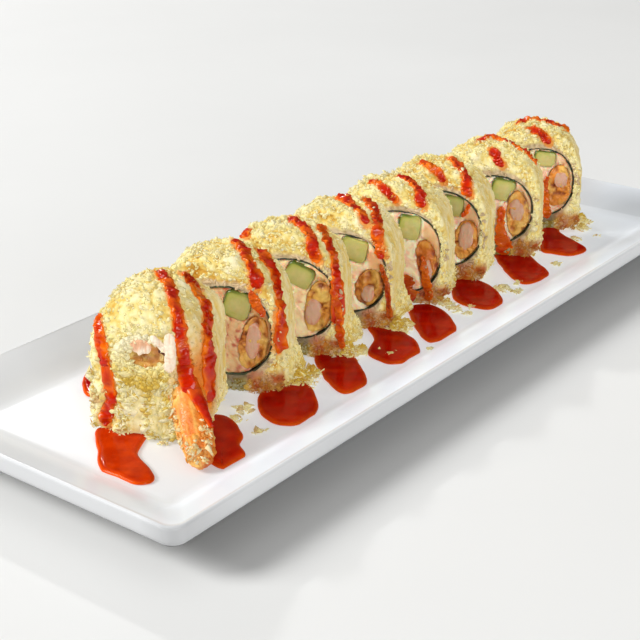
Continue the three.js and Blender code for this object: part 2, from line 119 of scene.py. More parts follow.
probe = lumps(np.random.default_rng(1).uniform(0, 90, (4000, 3)), 3, 1)
print("lump heights run from", round(probe.min(), 2), "to", round(probe.max(), 2))

# %% [markdown]
# Colours are picked as they look on a screen and turned into the linear values that Blender
# renders with. A finish starts as the Principled shader, and helpers add its nodes: noise for
# mottling, a bump for fine relief, and the stored colour of each point.

# %% Helpers for colours and finishes
def colour(red, green, blue):
    screen = np.array([red, green, blue]) / 255
    return np.where(screen <= 0.04045, screen / 12.92, ((screen + 0.055) / 1.055) ** 2.4)


def new_finish(name, **sockets):
    finish = bpy.data.materials.new(name)
    finish.use_nodes = True
    shader = finish.node_tree.nodes["Principled BSDF"]
    for socket, value in sockets.items():
        shader.inputs[socket.replace("_", " ")].default_value = value
    return finish, finish.node_tree, shader


def add_noise(tree, scale, detail=4.0, roughness=0.6):
    noise = tree.nodes.new("ShaderNodeTexNoise")
    noise.inputs["Scale"].default_value = scale
    noise.inputs["Detail"].default_value = detail
    noise.inputs["Roughness"].default_value = roughness
    place = tree.nodes.new("ShaderNodeTexCoord")
    tree.links.new(place.outputs["Object"], noise.inputs["Vector"])
    return noise


def add_bump(tree, shader, noise, distance, strength=1.0):
    bump = tree.nodes.new("ShaderNodeBump")
    bump.inputs["Distance"].default_value = distance
    bump.inputs["Strength"].default_value = strength
    tree.links.new(noise.outputs["Fac"], bump.inputs["Height"])
    tree.links.new(bump.outputs["Normal"], shader.inputs["Normal"])
    return bump


def add_ramp(tree, source, stops):
    ramp = tree.nodes.new("ShaderNodeValToRGB")
    band = ramp.color_ramp
    while len(band.elements) < len(stops):
        band.elements.new(0.5)
    for element, (at, shade) in zip(band.elements, stops):
        element.position = at
        element.color = (*shade, 1)
    tree.links.new(source, ramp.inputs["Fac"])
    return ramp


def add_tint(tree, shader, mottle, low, high):
    stored = tree.nodes.new("ShaderNodeAttribute")
    stored.attribute_name = "tint"
    shades = add_ramp(tree, mottle.outputs["Fac"], [(0.3, low), (0.7, high)])
    blend = tree.nodes.new("ShaderNodeMix")
    blend.data_type = "RGBA"
    blend.blend_type = "MULTIPLY"
    blend.inputs["Factor"].default_value = 1.0
    tree.links.new(stored.outputs["Color"], blend.inputs["A"])
    tree.links.new(shades.outputs["Color"], blend.inputs["B"])
    tree.links.new(blend.outputs["Result"], shader.inputs["Base Color"])
    tree.links.new(blend.outputs["Result"], shader.inputs["Emission Color"])


print("pale crumb in linear light:", colour(243, 228, 152).round(3))

# %% [markdown]
# The eight pieces differ in size, turn and filling, so their sizes are a table. x and y are
# the middle of the cut face on the plate, and turn is the angle seen from above. The oval of
# each filling is measured on the cut face: its middle to the near side and above the plate,
# its half width, its half height and its turn. The lines of sauce come later.

# %% The table of the pieces
WELL = 10.0
GAP = 0.3
SEAWEED = 0.8
CUT_ROUNDING = 2.2
FOOT_SPREAD_HEIGHT = 16


def roll(place, size, foot, seaweed, cucumber, shrimp, meat, rounding=CUT_ROUNDING):
    return {
        "x": place[0], "y": place[1], "turn": math.radians(place[2]),
        "width": size[0], "height": size[1], "length": size[2], "arch": size[3],
        "near": foot[0], "far": foot[1], "rounding": rounding,
        "seaweed": (*seaweed, 0), "cucumber": cucumber, "shrimp": shrimp, "meat": meat,
    }


rolls = [
    roll((-132.5, -9.5, 28), (40, 49.3, 28, 2), (2, 6), (1, 23, 15, 15),
         (3, 32, 4.5, 4.25, -10), (8.5, 18, 5.2, 9.5, 8), (8.5, 18, 2.6, 6, 8), rounding=9),
    roll((-91.7, -3.4, 23), (45.5, 48.2, 21, 2.2), (8, 3), (3.6, 22.2, 16.2, 15.8),
         (7.6, 32, 4.8, 5, -16), (13.2, 18.3, 5.4, 10.8, -10), (13.2, 19.6, 2.6, 7, -6)),
    roll((-55.8, -2.4, 23), (44.5, 46.5, 21, 2.3), (8, 3), (4.2, 22, 16.4, 15),
         (7.2, 31.4, 5.25, 4.25, -24), (14.2, 19.6, 5.2, 11, -8), (12.4, 18, 2.9, 5.2, -8)),
    roll((-23.3, -2.2, 21), (46, 46, 21, 2.3), (7, 3), (4, 21.8, 16.3, 15.2),
         (7.6, 31.6, 5.25, 4.5, -14), (14, 16.6, 6, 8.2, -12), (13.6, 14.6, 2.5, 3.4, -12)),
    roll((9.2, -5.2, 24), (46, 47.5, 21, 2.3), (5, 3), (4, 21.2, 16.4, 16.6),
         (7.6, 31.8, 4.4, 5, -8), (15.2, 17, 4.4, 11, 12), (15.2, 15.5, 2, 4.5, 12)),
    roll((39.6, -4.6, 20), (46, 48, 20, 2.3), (4, 3), (4.4, 22.4, 16.4, 15.6),
         (8.6, 32.6, 4.5, 4.25, -6), (14.6, 18.2, 5.2, 9.6, -6), (14.8, 20.4, 3.1, 6.2, -6)),
    roll((76.2, -9.5, 27), (45, 47.5, 21, 2.3), (4, 3), (2.6, 21.4, 16, 14.6),
         (6, 30.4, 5, 4.8, -12), (12.9, 19.4, 5, 11.4, 4), (12.4, 21.8, 3, 5.2, 4)),
    roll((117.8, -7.8, 31), (42.5, 47, 21, 2.3), (3, 3), (2.6, 22.4, 15, 15.4),
         (4.6, 33.6, 4.75, 3.5, -6), (11.2, 21, 5.6, 10.4, 0), (12.2, 24.2, 2.9, 3.7, 0)),
]
print("pieces:", len(rolls), "widths:", [piece["width"] for piece in rolls])

# %% [markdown]
# A piece's outside is an arch that spreads where it stands, and its edges are rounded onto the
# cut faces. The crust is a function: travel runs along the piece, angle runs round it, and
# lift stands off it. Crumbs and sauce then follow the same surface with no fitting by hand.

# %% The crust of a piece as a function
LOWER_ARCH = 4.5
LOWER_INSET = 0.25


def arch_line(piece, angle, inset, share):
    across, up = np.cos(angle), np.sin(angle)
    lower = up < 0
    power = np.where(lower, LOWER_ARCH, piece["arch"])
    half = piece["height"] / 2
    rise = half - inset * np.where(lower, LOWER_INSET, 1)
    side = (piece["width"] / 2 - inset) * np.sign(across) * np.abs(across) ** (2 / power)
    z = np.maximum(rise * np.sign(up) * np.abs(up) ** (2 / power) + half, GAP)
    low = np.maximum(1 - z / FOOT_SPREAD_HEIGHT, 0)
    spread = np.where(side > 0, piece["near"] * (0.5 + share), piece["far"])
    return side + np.sign(side) * spread * low**2, z


def crust(piece, travel, angle, lift):
    travel, angle, lift = np.broadcast_arrays(travel, angle, lift)
    length = piece["length"]
    front = travel < length / 2
    rounding = np.where(front, piece["rounding"], CUT_ROUNDING)
    run = np.minimum(travel, length - travel)
    quarter = np.pi / 2 * rounding
    arc = np.clip(rounding - run, 0, quarter) / rounding
    beyond = np.maximum(rounding - run - quarter, 0)
    inset = rounding * (1 - np.cos(arc)) + beyond - lift * np.cos(arc)
    depth = rounding * (1 - np.sin(arc)) - lift * np.sin(arc)
    along = np.where(run >= rounding, run, depth)
    side, z = arch_line(piece, angle, inset, travel / length)
    return np.stack([np.where(front, along, length - along), -side, z], -1)


def on_plate(piece, local):
    c, s = math.cos(piece["turn"]), math.sin(piece["turn"])
    x = local[..., 0] * c - local[..., 1] * s + piece["x"]
    y = local[..., 0] * s + local[..., 1] * c + piece["y"]
    return np.stack([x, y, local[..., 2] + WELL], -1)


def even_angles(piece, count):
    angles = np.linspace(0, 2 * np.pi, 8001)
    side, z = arch_line(piece, angles, 0.0, 0.5)
    run = np.concatenate([[0], np.cumsum(np.hypot(np.diff(side), np.diff(z)))])
    return np.interp(np.arange(count) / count * run[-1], run, angles)


top = on_plate(rolls[1], crust(rolls[1], 10.0, math.pi / 2, 0.0))
print("top of the second piece at", top.round(1), "mm")

# %% [markdown]
# The fillings are ovals with slightly squared shoulders. One helper gives the edge of an oval
# in any direction, so that the rice can meet the seaweed point for point. Every grid of points
# closes round its columns. Its last row can be joined to its first, or it becomes a tube with
# a cap at each end.

# %% Ovals and grids
def oval_edge(oval, theta, grow=0.0, power=2.2):
    side, z, half_width, half_height, turn = oval
    bearing = theta - math.radians(turn)
    across = np.abs(np.cos(bearing)) / (half_width + grow)
    up = np.abs(np.sin(bearing)) / (half_height + grow)
    reach = (across**power + up**power) ** (-1 / power)
    return np.stack([side + reach * np.cos(theta), z + reach * np.sin(theta)], -1)


def grid_faces(rows, columns, wrap_rows=False):
    row = np.arange(rows if wrap_rows else rows - 1)[:, None]
    column = np.arange(columns)[None, :]
    ahead = (row + 1) % rows
    beside = (column + 1) % columns
    corners = [row * columns + column, row * columns + beside]
    corners += [ahead * columns + beside, ahead * columns + column]
    return np.stack(np.broadcast_arrays(*corners), -1).reshape(-1, 4)


def tube_faces(rows, columns):
    caps = [list(range(columns))[::-1], list(range((rows - 1) * columns, rows * columns))]
    return grid_faces(rows, columns).tolist() + caps


def grid_normals(grid):
    down = np.roll(grid, -1, 0) - np.roll(grid, 1, 0)
    along = np.roll(grid, -1, 1) - np.roll(grid, 1, 1)
    normals = np.cross(along, down)
    return normals / np.maximum(np.linalg.norm(normals, axis=-1, keepdims=True), 1e-9)


edge = oval_edge(rolls[1]["seaweed"], np.linspace(0, 2 * np.pi, 200))
print("seaweed loop is", (edge.max(0) - edge.min(0)).round(1), "mm across")

# %% [markdown]
# The sauce was poured in a zigzag, so each piece has a few thick lines that run over its top
# and down its near side. Each line is a few stops of travel and angle on the crust, where 0
# degrees faces the near side and 90 is the top, with a smooth curve through them.

# %% Where the lines of sauce run
sauce_lines = [
    [(3.8, [(9, 146), (2, 150), (-3, 176), (-4.2, 195), (-2.6, 222), (-2.2, 242)]),
     (3.8, [(24, 93), (14, 77), (5.6, 63), (-0.6, 41), (-2.3, 24), (-3.1, 4)]),
     (5.6, [(25.5, 70), (20.6, 51), (16, 34), (8, 22), (5.6, 4), (5.8, -16)])],
    [(4.2, [(18.2, 86), (10.1, 73), (3.6, 61), (-0.2, 49), (-3, 44)]),
     (4.4, [(19.2, 66), (14.5, 52), (9.5, 36), (4, 24), (1.2, 8), (0.9, -6)])],
    [(4, [(18.1, 92), (11.7, 79), (4.4, 66), (-0.6, 56), (-3, 42)]),
     (4.4, [(18.5, 65), (12.8, 57), (6.7, 43), (2.5, 27), (0, 10), (0.6, -10)]),
     (3.4, [(1.5, 120), (6, 127), (12, 128)])],
    [(3.8, [(19, 97), (13.2, 87), (8.1, 77), (2.2, 65), (0.2, 58)]),
     (4.1, [(18.9, 75), (13.9, 65), (7.4, 54), (0.8, 45), (-1.9, 31), (-2.6, 16)])],
    [(3.1, [(10.5, 112), (5.4, 103), (0.2, 94), (-2.4, 89), (-4.6, 82)]),
     (3.7, [(16, 90), (10.4, 78), (3, 65), (-0.8, 60), (-2.2, 52)])],
    [(3.4, [(7.5, 104), (3.6, 96), (0.6, 90), (-2, 83), (-4.5, 77)]),
     (4, [(15.5, 84), (10.2, 73), (2.7, 60), (-1.2, 50), (-3, 38)])],
    [(3.6, [(2, 90), (-0.6, 86), (-3, 81), (-5.2, 73)]),
     (2.8, [(13, 104), (17.2, 92), (15.4, 77), (13.5, 64), (12.5, 48), (12.2, 35)])],
    [(3.2, [(13, 110), (17.4, 96), (15.4, 84), (15, 72), (15.5, 60), (18.5, 47)]),
     (3.4, [(3.5, 97), (0.8, 92), (-1, 85), (-3.2, 76), (-4.6, 70)])],
]


def smooth_curve(stops, count, closed=False):
    stops = np.asarray(stops, float)
    if closed:
        padded = np.concatenate([stops[-1:], stops, stops[:2]])
    else:
        padded = np.concatenate([2 * stops[:1] - stops[1:2], stops, 2 * stops[-1:] - stops[-2:-1]])
    spans = len(padded) - 3
    t = np.linspace(0, spans, count, endpoint=not closed)
    span = np.minimum(t.astype(int), spans - 1)
    t = (t - span)[:, None]
    a, b, c, d = (padded[span + k] for k in range(4))
    return 0.5 * (2 * b + (c - a) * t + (2 * a - 5 * b + 4 * c - d) * t**2
                  + (3 * b - a - 3 * c + d) * t**3)


def line_on_crust(piece, stops, count, lift=0.0):
    path = smooth_curve(stops, count)
    return crust(piece, path[:, 0], np.radians(path[:, 1]), lift)


print("lines of sauce:", sum(len(lines) for lines in sauce_lines))

# %% [markdown]
# The plate is a single skin of rounded rectangles, one inside the other, from the recess under
# it up round the lip and down to the well. Each one has a distance in from the edge, a height,
# a corner radius and a painted shade: the well is whitest, the slopes are painted greyer and the
# underside of the lip is painted dark, as shade falls there. A smooth curve through those twenty
# steps makes many fine ones, so that light runs evenly over the glaze as it does on fired
# porcelain.

# %% The shape of the plate
PLATE_LENGTH = 360
PLATE_WIDTH = 130
LIP_TOP = 18.4
FINE_RINGS = 115
plate_rings = [
    (42, 4, 3, 0.8), (40, 0, 4, 0.8), (34, 0, 6, 0.8), (32.5, 4, 6, 0.4), (20, 6.2, 5, 0.2),
    (3, 11.3, 4, 0.2), (0.9, 12.1, 4.6, 0.3), (0, 13.5, 5.5, 0.74), (0, 17.3, 5.5, 0.8),
    (0.35, 18.1, 5.5, 0.84), (1.1, 18.4, 5, 0.97), (2, 17.9, 4.6, 0.86), (11.55, 14.3, 5, 0.83),
    (18.06, 11.2, 5, 0.88), (21, 10.25, 5, 0.95), (24, 10, 5, 1), (32, 10, 5, 1), (42, 10, 4, 1),
    (52, 10, 3, 1), (62, 10, 2, 1),
]


def rounded_ring(inset, z, radius, corner_steps=12, side_steps=14):
    arc = np.linspace(0, np.pi / 2, corner_steps)
    corners = []
    for quarter, (x_sign, y_sign) in enumerate([(1, 1), (-1, 1), (-1, -1), (1, -1)]):
        bearing = arc + quarter * np.pi / 2
        x = x_sign * (PLATE_LENGTH / 2 - inset - radius) + radius * np.cos(bearing)
        y = y_sign * (PLATE_WIDTH / 2 - inset - radius) + radius * np.sin(bearing)
        corners.append(np.stack([x, y, np.full_like(x, z)], -1))
    share = np.linspace(0, 1, side_steps + 2)[1:-1, None]
    loop = []
    for corner, after in zip(corners, corners[1:] + corners[:1]):
        loop += [corner, corner[-1] + share * (after[0] - corner[-1])]
    return np.concatenate(loop)


fine_rings = smooth_curve(plate_rings, FINE_RINGS)
fine_rings[:, 0] = np.maximum(fine_rings[:, 0], 0)
fine_rings[:, 1] = np.clip(fine_rings[:, 1], 0, LIP_TOP)
plate_grid = np.stack([rounded_ring(*ring[:3]) for ring in fine_rings])
print("rings of the plate by points:", plate_grid.shape[:2])

# %% [markdown]
# The light and shade of the room are painted into the colour of the glaze. The far end is
# painted greyer, and so are the wall at the tail end and the near corner, as painted shade. The
# well before the rolls and the slopes inside the lip are painted whiter, most of all on the near
# side, as painted light that lifts their shade. Each of these is a share between 0 and 1 that
# fades in over a few millimetres, because a hard edge would show.

# %% The shades of the plate
LIP_ROW = 62
SLOPE_TOP = 17.9
END_WALL_PAINTED_SHADE = 0.1
FAR_END_PAINTED_SHADE = 0.18
CORNER_PAINTED_SHADE = 0.2
WELL_PAINTED_LIGHT = np.array([0.17, 0.21, 0.26])
SLOPE_PAINTED_LIGHT = np.array([0.42, 0.54, 0.66])
END_PAINTED_LIGHT = np.array([0.08, 0.08, 0.06])
END_PAINTED_LIGHT_NEARER = np.array([0.055, 0.1, 0.15])


def fade(value, start, width):
    return np.clip((value - start) / width, 0, 1)


def painted_plate_shades(grid, ring_painted_shades):
    x, y, z = grid[..., 0], grid[..., 1], grid[..., 2]
    inner = np.arange(len(grid))[:, None] > LIP_ROW
    slope = inner * (z < SLOPE_TOP)
    grey = np.clip(ring_painted_shades, 0, 1)[:, None] * np.ones(grid.shape[1])
    grey = grey * (1 - END_WALL_PAINTED_SHADE * fade(-x, 176, 3) * fade(z, 12, 1) * (grey < 0.84))
    grey = grey * (1 - FAR_END_PAINTED_SHADE * fade(x, 138, 30) * (z > 11))
    near_corner = fade(-x, 168, 6) * fade(-y, 54, 6) * (1 - inner) * (z > 13)
    grey = grey * (1 - CORNER_PAINTED_SHADE * near_corner)
    before_rolls = fade(-y, 6, 14) * fade(x, -120, 20) * fade(y, -56, 8)
    near_slope = fade(-y, 42, 6) * slope * np.interp(x, [-172, -60, 60, 140], [0.4, 0.85, 0.7, 0])
    end_slope = fade(-x, 156, 6) * slope
    end_painted_light = END_PAINTED_LIGHT + fade(-y, 0, 45)[..., None] * END_PAINTED_LIGHT_NEARER
    whiter = 1 + before_rolls[..., None] * WELL_PAINTED_LIGHT
    whiter = np.maximum(whiter, 1 + near_slope[..., None] * SLOPE_PAINTED_LIGHT)
    whiter = np.maximum(whiter, 1 + end_slope[..., None] * end_painted_light)
    return grey[..., None] * whiter


plate_painted_shades = painted_plate_shades(plate_grid, fine_rings[:, 3])
print("shades of the plate run from", plate_painted_shades.min().round(2), "to", plate_painted_shades.max().round(2))

# %% [markdown]
# Porcelain is nearly white under a clear glaze. Noise changes its tone and its gloss by very
# little. A faint light of its own stands in for what a bright white room throws back into the
# shadows of the rolls, so the well is a touch whiter right in front of them.

# %% Porcelain finish
porcelain, tree, shader = new_finish("porcelain", Roughness=0.26, Specular_IOR_Level=0.2)
add_tint(tree, shader, add_noise(tree, 14, 3.0), colour(184, 185, 186), colour(189, 190, 191))
shader.inputs["Emission Strength"].default_value = 0.68
add_bump(tree, shader, add_noise(tree, 45, 2.0), 0.0004, 0.25)
make_piece("plate_glazed", plate_grid.reshape(-1, 3), tube_faces(*plate_grid.shape[:2]), porcelain,
           ["plate"], plate_painted_shades.reshape(-1, 3))
glazed = bpy.data.objects["plate_glazed"]
print("plate is", [round(side, 4) for side in glazed.dimensions], "metres")

# %% [markdown]
# Crisp crumbs look dry, pale yellow and a little see-through. One finish serves the coat and
# its loose crumbs: the stored colour of each point is mottled by noise, and a fine bump breaks
# up the highlights. A glow in their own colour is painted light that lifts the shade between
# the crumbs. The same recipe with other numbers gives rice, with a fainter painted glow, and
# seaweed.

# %% Finishes for the dry food
def food_finish(name, mottle_scale, low, high, bump_scale, bump_distance, **sockets):
    finish, tree, shader = new_finish(name, **sockets)
    add_tint(tree, shader, add_noise(tree, mottle_scale), low, high)
    add_bump(tree, shader, add_noise(tree, bump_scale, 5.0), bump_distance)
    return finish


# The emission is a faint glow: painted light that lifts the shade between crumbs.
crisp = food_finish("crisp_crumbs", 700, (0.6, 0.61, 0.57), (0.67, 0.68, 0.69), 1200, 0.0003,
                    Roughness=0.7, Specular_IOR_Level=0.1, Emission_Strength=0.5)
# A fainter glow here too, as painted light.
rice_finish = food_finish("cooked_rice", 500, (0.92, 0.91, 0.9), (1.0, 1.0, 1.0), 900, 0.0001,
                          Roughness=0.5, Specular_IOR_Level=0.3, Emission_Strength=0.05)
seaweed_finish = food_finish("seaweed", 600, (0.5, 0.5, 0.5), (1.5, 1.5, 1.4), 1300, 0.0004,
                             Roughness=0.5)
print("dry finishes:", crisp.name, rice_finish.name, seaweed_finish.name)

# %% [markdown]
# Cucumber, fried batter and cut meat are moist. Light sinks a little way into cucumber and
# meat before it comes out again, which subsurface scattering imitates, and a thin coat gives
# them their wet gleam. Frying leaves batter dry enough to do with the gleam alone, and a faint
# glow in its own colour is painted light.

# %% Finishes for the fillings
cucumber_finish = food_finish("cucumber", 350, (0.9, 0.93, 0.85), (1.08, 1.06, 1.1), 800, 0.0001,
                              Roughness=0.28, Coat_Weight=0.1, Subsurface_Weight=0.5,
                              Subsurface_Scale=0.002)
# The small emission is a faint glow of painted light.
batter_finish = food_finish("fried_batter", 450, (0.84, 0.78, 0.66), (1.08, 1.08, 1.04), 1100,
                            0.0004, Roughness=0.45, Coat_Weight=0.1, Emission_Strength=0.05)
meat_finish = food_finish("soft_meat", 400, (0.95, 0.92, 0.9), (1.04, 1.04, 1.04), 700, 0.0002,
                          Roughness=0.4, Coat_Weight=0.1, Subsurface_Weight=0.7,
                          Subsurface_Scale=0.0012)
print("filling finishes:", cucumber_finish.name, batter_finish.name, meat_finish.name)

# %% [markdown]
# The sauce is a red syrup under a clear shine. On the crumbs it is broken up and duller. In the
# well it lies still, so its coat is smoother, but it mirrors less of the white room: otherwise
# the pools would turn pink.

# %% Finishes for the sauce
sauce_finish = food_finish("red_sauce", 260, (0.86, 0.7, 0.7), (1.1, 1.3, 1.2), 500, 0.0002,
                           Roughness=0.2, Specular_IOR_Level=0.1, Coat_Weight=0.35,
                           Coat_Roughness=0.05)
pool_finish = food_finish("pooled_sauce", 260, (0.86, 0.7, 0.7), (1.1, 1.3, 1.2), 420, 0.0001,
                          Roughness=0.1, Specular_IOR_Level=0.02, Coat_Weight=0.14,
                          Coat_Roughness=0.03)
print("sauce finishes:", sauce_finish.name, pool_finish.name)

# %% [markdown]
# Each coat is rice inside and crumbs outside. It is made as one closed ring of points: round
# the outside along the piece, over the rounded edge, across the cut face to the seaweed, and
# back a little way into the hole. The end piece has only a torn mouth in its domed end, so its
# front ring runs in to that smaller oval instead.

# %% The rings of points that make a coat
MOUTH = (-0.5, 27.5, 8.4, 8, 0)
MOUTH_DEPTH = 9.3
MOUTH_THROAT = 1.8
HOLE_DEPTH = 2
COLUMNS = 204
FACE_SHARES = np.linspace(0, 1, 13)[:-1]
BACK_SHARES = np.linspace(1, 0, 9)[1:]
SKIN_ROWS = 44
RICE_LAP = SEAWEED - 0.3


def ring_to(edge_row, oval, grow, x, shares):
    shares = np.asarray(shares)
    middle = np.array(oval[:2])
    flat = np.stack([-edge_row[:, 1], edge_row[:, 2]], -1)
    bearing = np.arctan2(flat[:, 1] - middle[1], flat[:, 0] - middle[0])
    hole = oval_edge(oval, bearing, grow)
    between = hole + shares[:, None, None] * (flat - hole)
    depth = edge_row[:, 0] * shares[:, None] + x * (1 - shares[:, None])
    return np.stack([depth, -between[..., 0], between[..., 1]], -1)


def coat_rows(piece, mouthed):
    length, seaweed = piece["length"], piece["seaweed"]
    turn_in = 1 - np.pi / 2
    angles = even_angles(piece, COLUMNS)
    travels = np.linspace(piece["rounding"] * turn_in, length - CUT_ROUNDING * turn_in, SKIN_ROWS)
    skin = crust(piece, travels[:, None], angles[None, :], 0.0)
    front_oval, front_grow = (MOUTH, 0.0) if mouthed else (seaweed, RICE_LAP)
    front = ring_to(skin[0], front_oval, front_grow, 0.0, FACE_SHARES)
    back = ring_to(skin[-1], seaweed, RICE_LAP, length, BACK_SHARES)
    stop = MOUTH_DEPTH if mouthed else HOLE_DEPTH
    tunnel = [ring_to(skin[-1], seaweed, SEAWEED, length - HOLE_DEPTH, [0.0]),
              ring_to(skin[0], seaweed, SEAWEED, stop, [0.0])]
    if mouthed:
        inner_depths = (MOUTH_DEPTH, MOUTH_THROAT)
        tunnel += [ring_to(skin[0], MOUTH, 0.0, depth, [0.0]) for depth in inner_depths]
    grid = np.concatenate([front, skin, back, *tunnel])
    hidden = np.full(len(tunnel), -1.0)
    return grid, np.concatenate([FACE_SHARES, np.ones(SKIN_ROWS), BACK_SHARES, hidden])


grid, share = coat_rows(rolls[1], False)
print("coat of the second piece:", grid.shape[0], "rows by", grid.shape[1])

# %% [markdown]
# The crust gets its lumps by moving each point along its normal. Puffy heaps come from the
# size of a noise without its sign, which leaves sharp creases between round bumps, as crumbs
# have. How far a point is from a line of sauce is measured too, because sauce soaks in.

# %% Heaps of crumbs and the way to the sauce
FAR_FROM_SAUCE = 20.0
GAP_STOPS = 50


def mix(low, high, share):
    return low + np.clip(share, 0, 1)[..., None] * (high - low)


def sauce_gap(piece, lines, local):
    gap = np.full(local.shape[:-1], FAR_FROM_SAUCE)
    for width, stops in lines:
        path = line_on_crust(piece, stops, GAP_STOPS)[2:-2]
        apart = np.stack([np.linalg.norm(local - spot, axis=-1) for spot in path])
        gap = np.minimum(gap, apart.min(0) - width / 2)
    return gap


def crumb_relief(local, seed):
    heaps = np.abs(lumps(local, 3.4, seed)) * 1.3 + np.abs(lumps(local, 1.5, seed + 1)) * 0.9
    return heaps + lumps(local, 6.5, seed + 6) * 0.7 + lumps(local, 0.9, seed + 2) * 0.3 - 0.55


relief = crumb_relief(grid, 3)
print("heaps run from", relief.min().round(1), "to", relief.max().round(1), "mm")

# %% [markdown]
# A few places differ from the rest of a coat, and each is a soft share of its own. The near
# wall was pressed flat. The dome of the end piece is smoother on top, and orange sauce has run
# down its near side between two lines. The foot of each cut face gets painted shade, darker
# towards the plate, and its near end is soaked by the pool that starts there.

# %% Places on a coat that differ
DOME_TOP = np.array([4, 5, 41])
DOME_REACH = np.array([9, 11, 8])
SEAM_MIDDLE = np.array([5, -17, 19])
SEAM_REACH = np.array([7, 7, 12])
SEAM_ORANGE = colour(216, 108, 14)
SOAKED = colour(172, 54, 0)


def soft_spot(local, middle, reach):
    return np.exp(-(((local - middle) / reach) ** 2).sum(-1))


def near_share(normals):
    return np.clip((-normals[..., 1] - 0.5) * 3, 0, 1)


def foot_shade(local):
    low = np.clip((9.5 - local[..., 2]) / 3, 0, 1)
    return 0.6 * low * (local[..., 0] < 2.5) * np.clip((14 + local[..., 1]) / 4, 0, 1)


def soaked_foot(local):
    low = np.clip((10.5 - local[..., 2]) / 3, 0, 1)
    uneven = np.clip(0.8 + 0.5 * lumps(local, 3, 77), 0, 1)
    return 0.9 * low * uneven * (local[..., 0] < 3) * np.clip((-10 - local[..., 1]) / 4, 0, 1)


def sauce_stains_and_foot_shade(tint, local, mouthed):
    if mouthed:
        seam = np.clip(1.5 * soft_spot(local, SEAM_MIDDLE, SEAM_REACH), 0, 0.9)
        return mix(tint, SEAM_ORANGE, seam)
    # Painted shade darkens the foot of a cut face, then sauce soaks its near end.
    return mix(tint * (1 - foot_shade(local))[..., None], SOAKED, soaked_foot(local))


heights = np.array([[0.0, 0, 3], [0.0, 0, 20]])
print("shade at 3 and 20 mm above the plate:", foot_shade(heights))

# %% [markdown]
# Everything that shape and colour both need is worked out once for a coat: its grid and
# normals, its heaps, where the rice shows, how pressed it is and how close the sauce runs.
# Rice shows on a cut face near the seaweed, up to an uneven line.

# %% What a coat is like at each point
MIDDLE_ROWS = slice(20, 50)


def coat_fields(piece, lines, seed, mouthed):
    grid, share = coat_rows(piece, mouthed)
    share = share[:, None]
    normals = grid_normals(grid)
    middle = np.array([piece["length"] / 2, 0, piece["height"] / 2])
    if (normals[MIDDLE_ROWS] * (grid[MIDDLE_ROWS] - middle)).sum() < 0:
        normals = -normals
    relief = crumb_relief(grid, seed)
    rice = np.clip((0.42 - (share + 0.12 * lumps(grid, 2.5, seed + 3))) * 4, 0, 1) * (share < 1)
    if mouthed:
        relief = relief * (1 - 0.45 * soft_spot(grid, DOME_TOP, DOME_REACH))
        rice = rice * (grid[..., 0] > 12)
    near = near_share(normals) * np.clip(grid[..., 2] / 8 - 1, 0, 1)
    fibre = lumps(grid * [1.3, 1, 0.3], 1.2, seed + 12)
    return {"grid": grid, "share": share, "normals": normals, "relief": relief, "rice": rice,
            "near": near, "fibre": fibre, "gap": sauce_gap(piece, lines, grid)}


fields = coat_fields(rolls[1], sauce_lines[1], 14, False)
print("share of the second coat that is rice:", (fields["rice"] > 0.5).mean().round(2))

# %% [markdown]
# Now the points move. Near the plate, on the rice and on the pressed near wall the relief is
# less, and the near wall has fine upright fibres instead. The end piece also gets a bulging
# shoulder, florets of crumbs on its low front and a ragged lip round the mouth.

# %% The relief of the coats
SHOULDER = np.array([27, -18, 38])
SHOULDER_REACH = np.array([3.5, 7, 8])
COAT_FLOOR = 0.15


def tear_open(points, coat, seed):
    grid, share = coat["grid"], coat["share"]
    shoulder = soft_spot(grid, SHOULDER, SHOULDER_REACH)
    points = points + coat["normals"] * 2.2 * shoulder[..., None]
    low = np.clip((21 - grid[..., 2]) / 9, 0, 1) * (grid[..., 0] < 3)
    low = low * np.clip(coat["gap"] / 2, 0, 1)
    florets = 2.4 * np.abs(lumps(grid, 4.4, seed + 5)) + 1.2 * np.abs(lumps(grid, 1.9, seed + 7))
    points[..., 0] -= low * (0.3 + florets) * np.clip(grid[..., 2] / 3, 0.3, 1)
    lip = np.clip(1 - share * 4, 0, 1) * (share >= 0)
    points[..., 0] -= lip * (1.6 * np.abs(lumps(grid, 2.6, seed + 8)) - 0.5)
    return points


def coat_points(coat, seed, mouthed):
    grid, rice, near = coat["grid"], coat["rice"], coat["near"]
    quiet = np.clip(grid[..., 2] / 4, 0.15, 1) * np.where(coat["share"] < 0, 0, 1)
    quiet = quiet * (1 - 0.65 * near)
    height = (coat["relief"] * (1 - 0.75 * rice) - 0.2 * rice) * quiet + 0.4 * near * coat["fibre"]
    points = grid + coat["normals"] * height[..., None]
    if mouthed:
        points = tear_open(points, coat, seed)
    points[..., 2] = np.maximum(points[..., 2], COAT_FLOOR)
    return points


moved = np.linalg.norm(coat_points(fields, 14, False) - fields["grid"], axis=-1)
print("points of the second coat moved by up to", moved.max().round(1), "mm")

# %% [markdown]
# The same heights choose the colours as painted light and shade: creases are painted a deeper
# yellow, high spots pale, and the deepest places darker still. The pressed near wall is painted a
# little darker as shade. Foot crumbs turn golden, rice is painted pale brown as it lies in the
# shade of the roll, and whatever lies beside a line of sauce has drunk some of it.

# %% The colours of the coats
CREAM = colour(253, 240, 200)
YELLOW = colour(252, 236, 162)
DEEP = colour(232, 194, 94)
ROAST_AND_CREASE_SHADE = colour(204, 142, 50)
GOLDEN_CRUMB = colour(224, 186, 78)
RICE = colour(214, 192, 156)
RICE_SHADE = colour(170, 142, 102)
STAIN = colour(236, 142, 52)


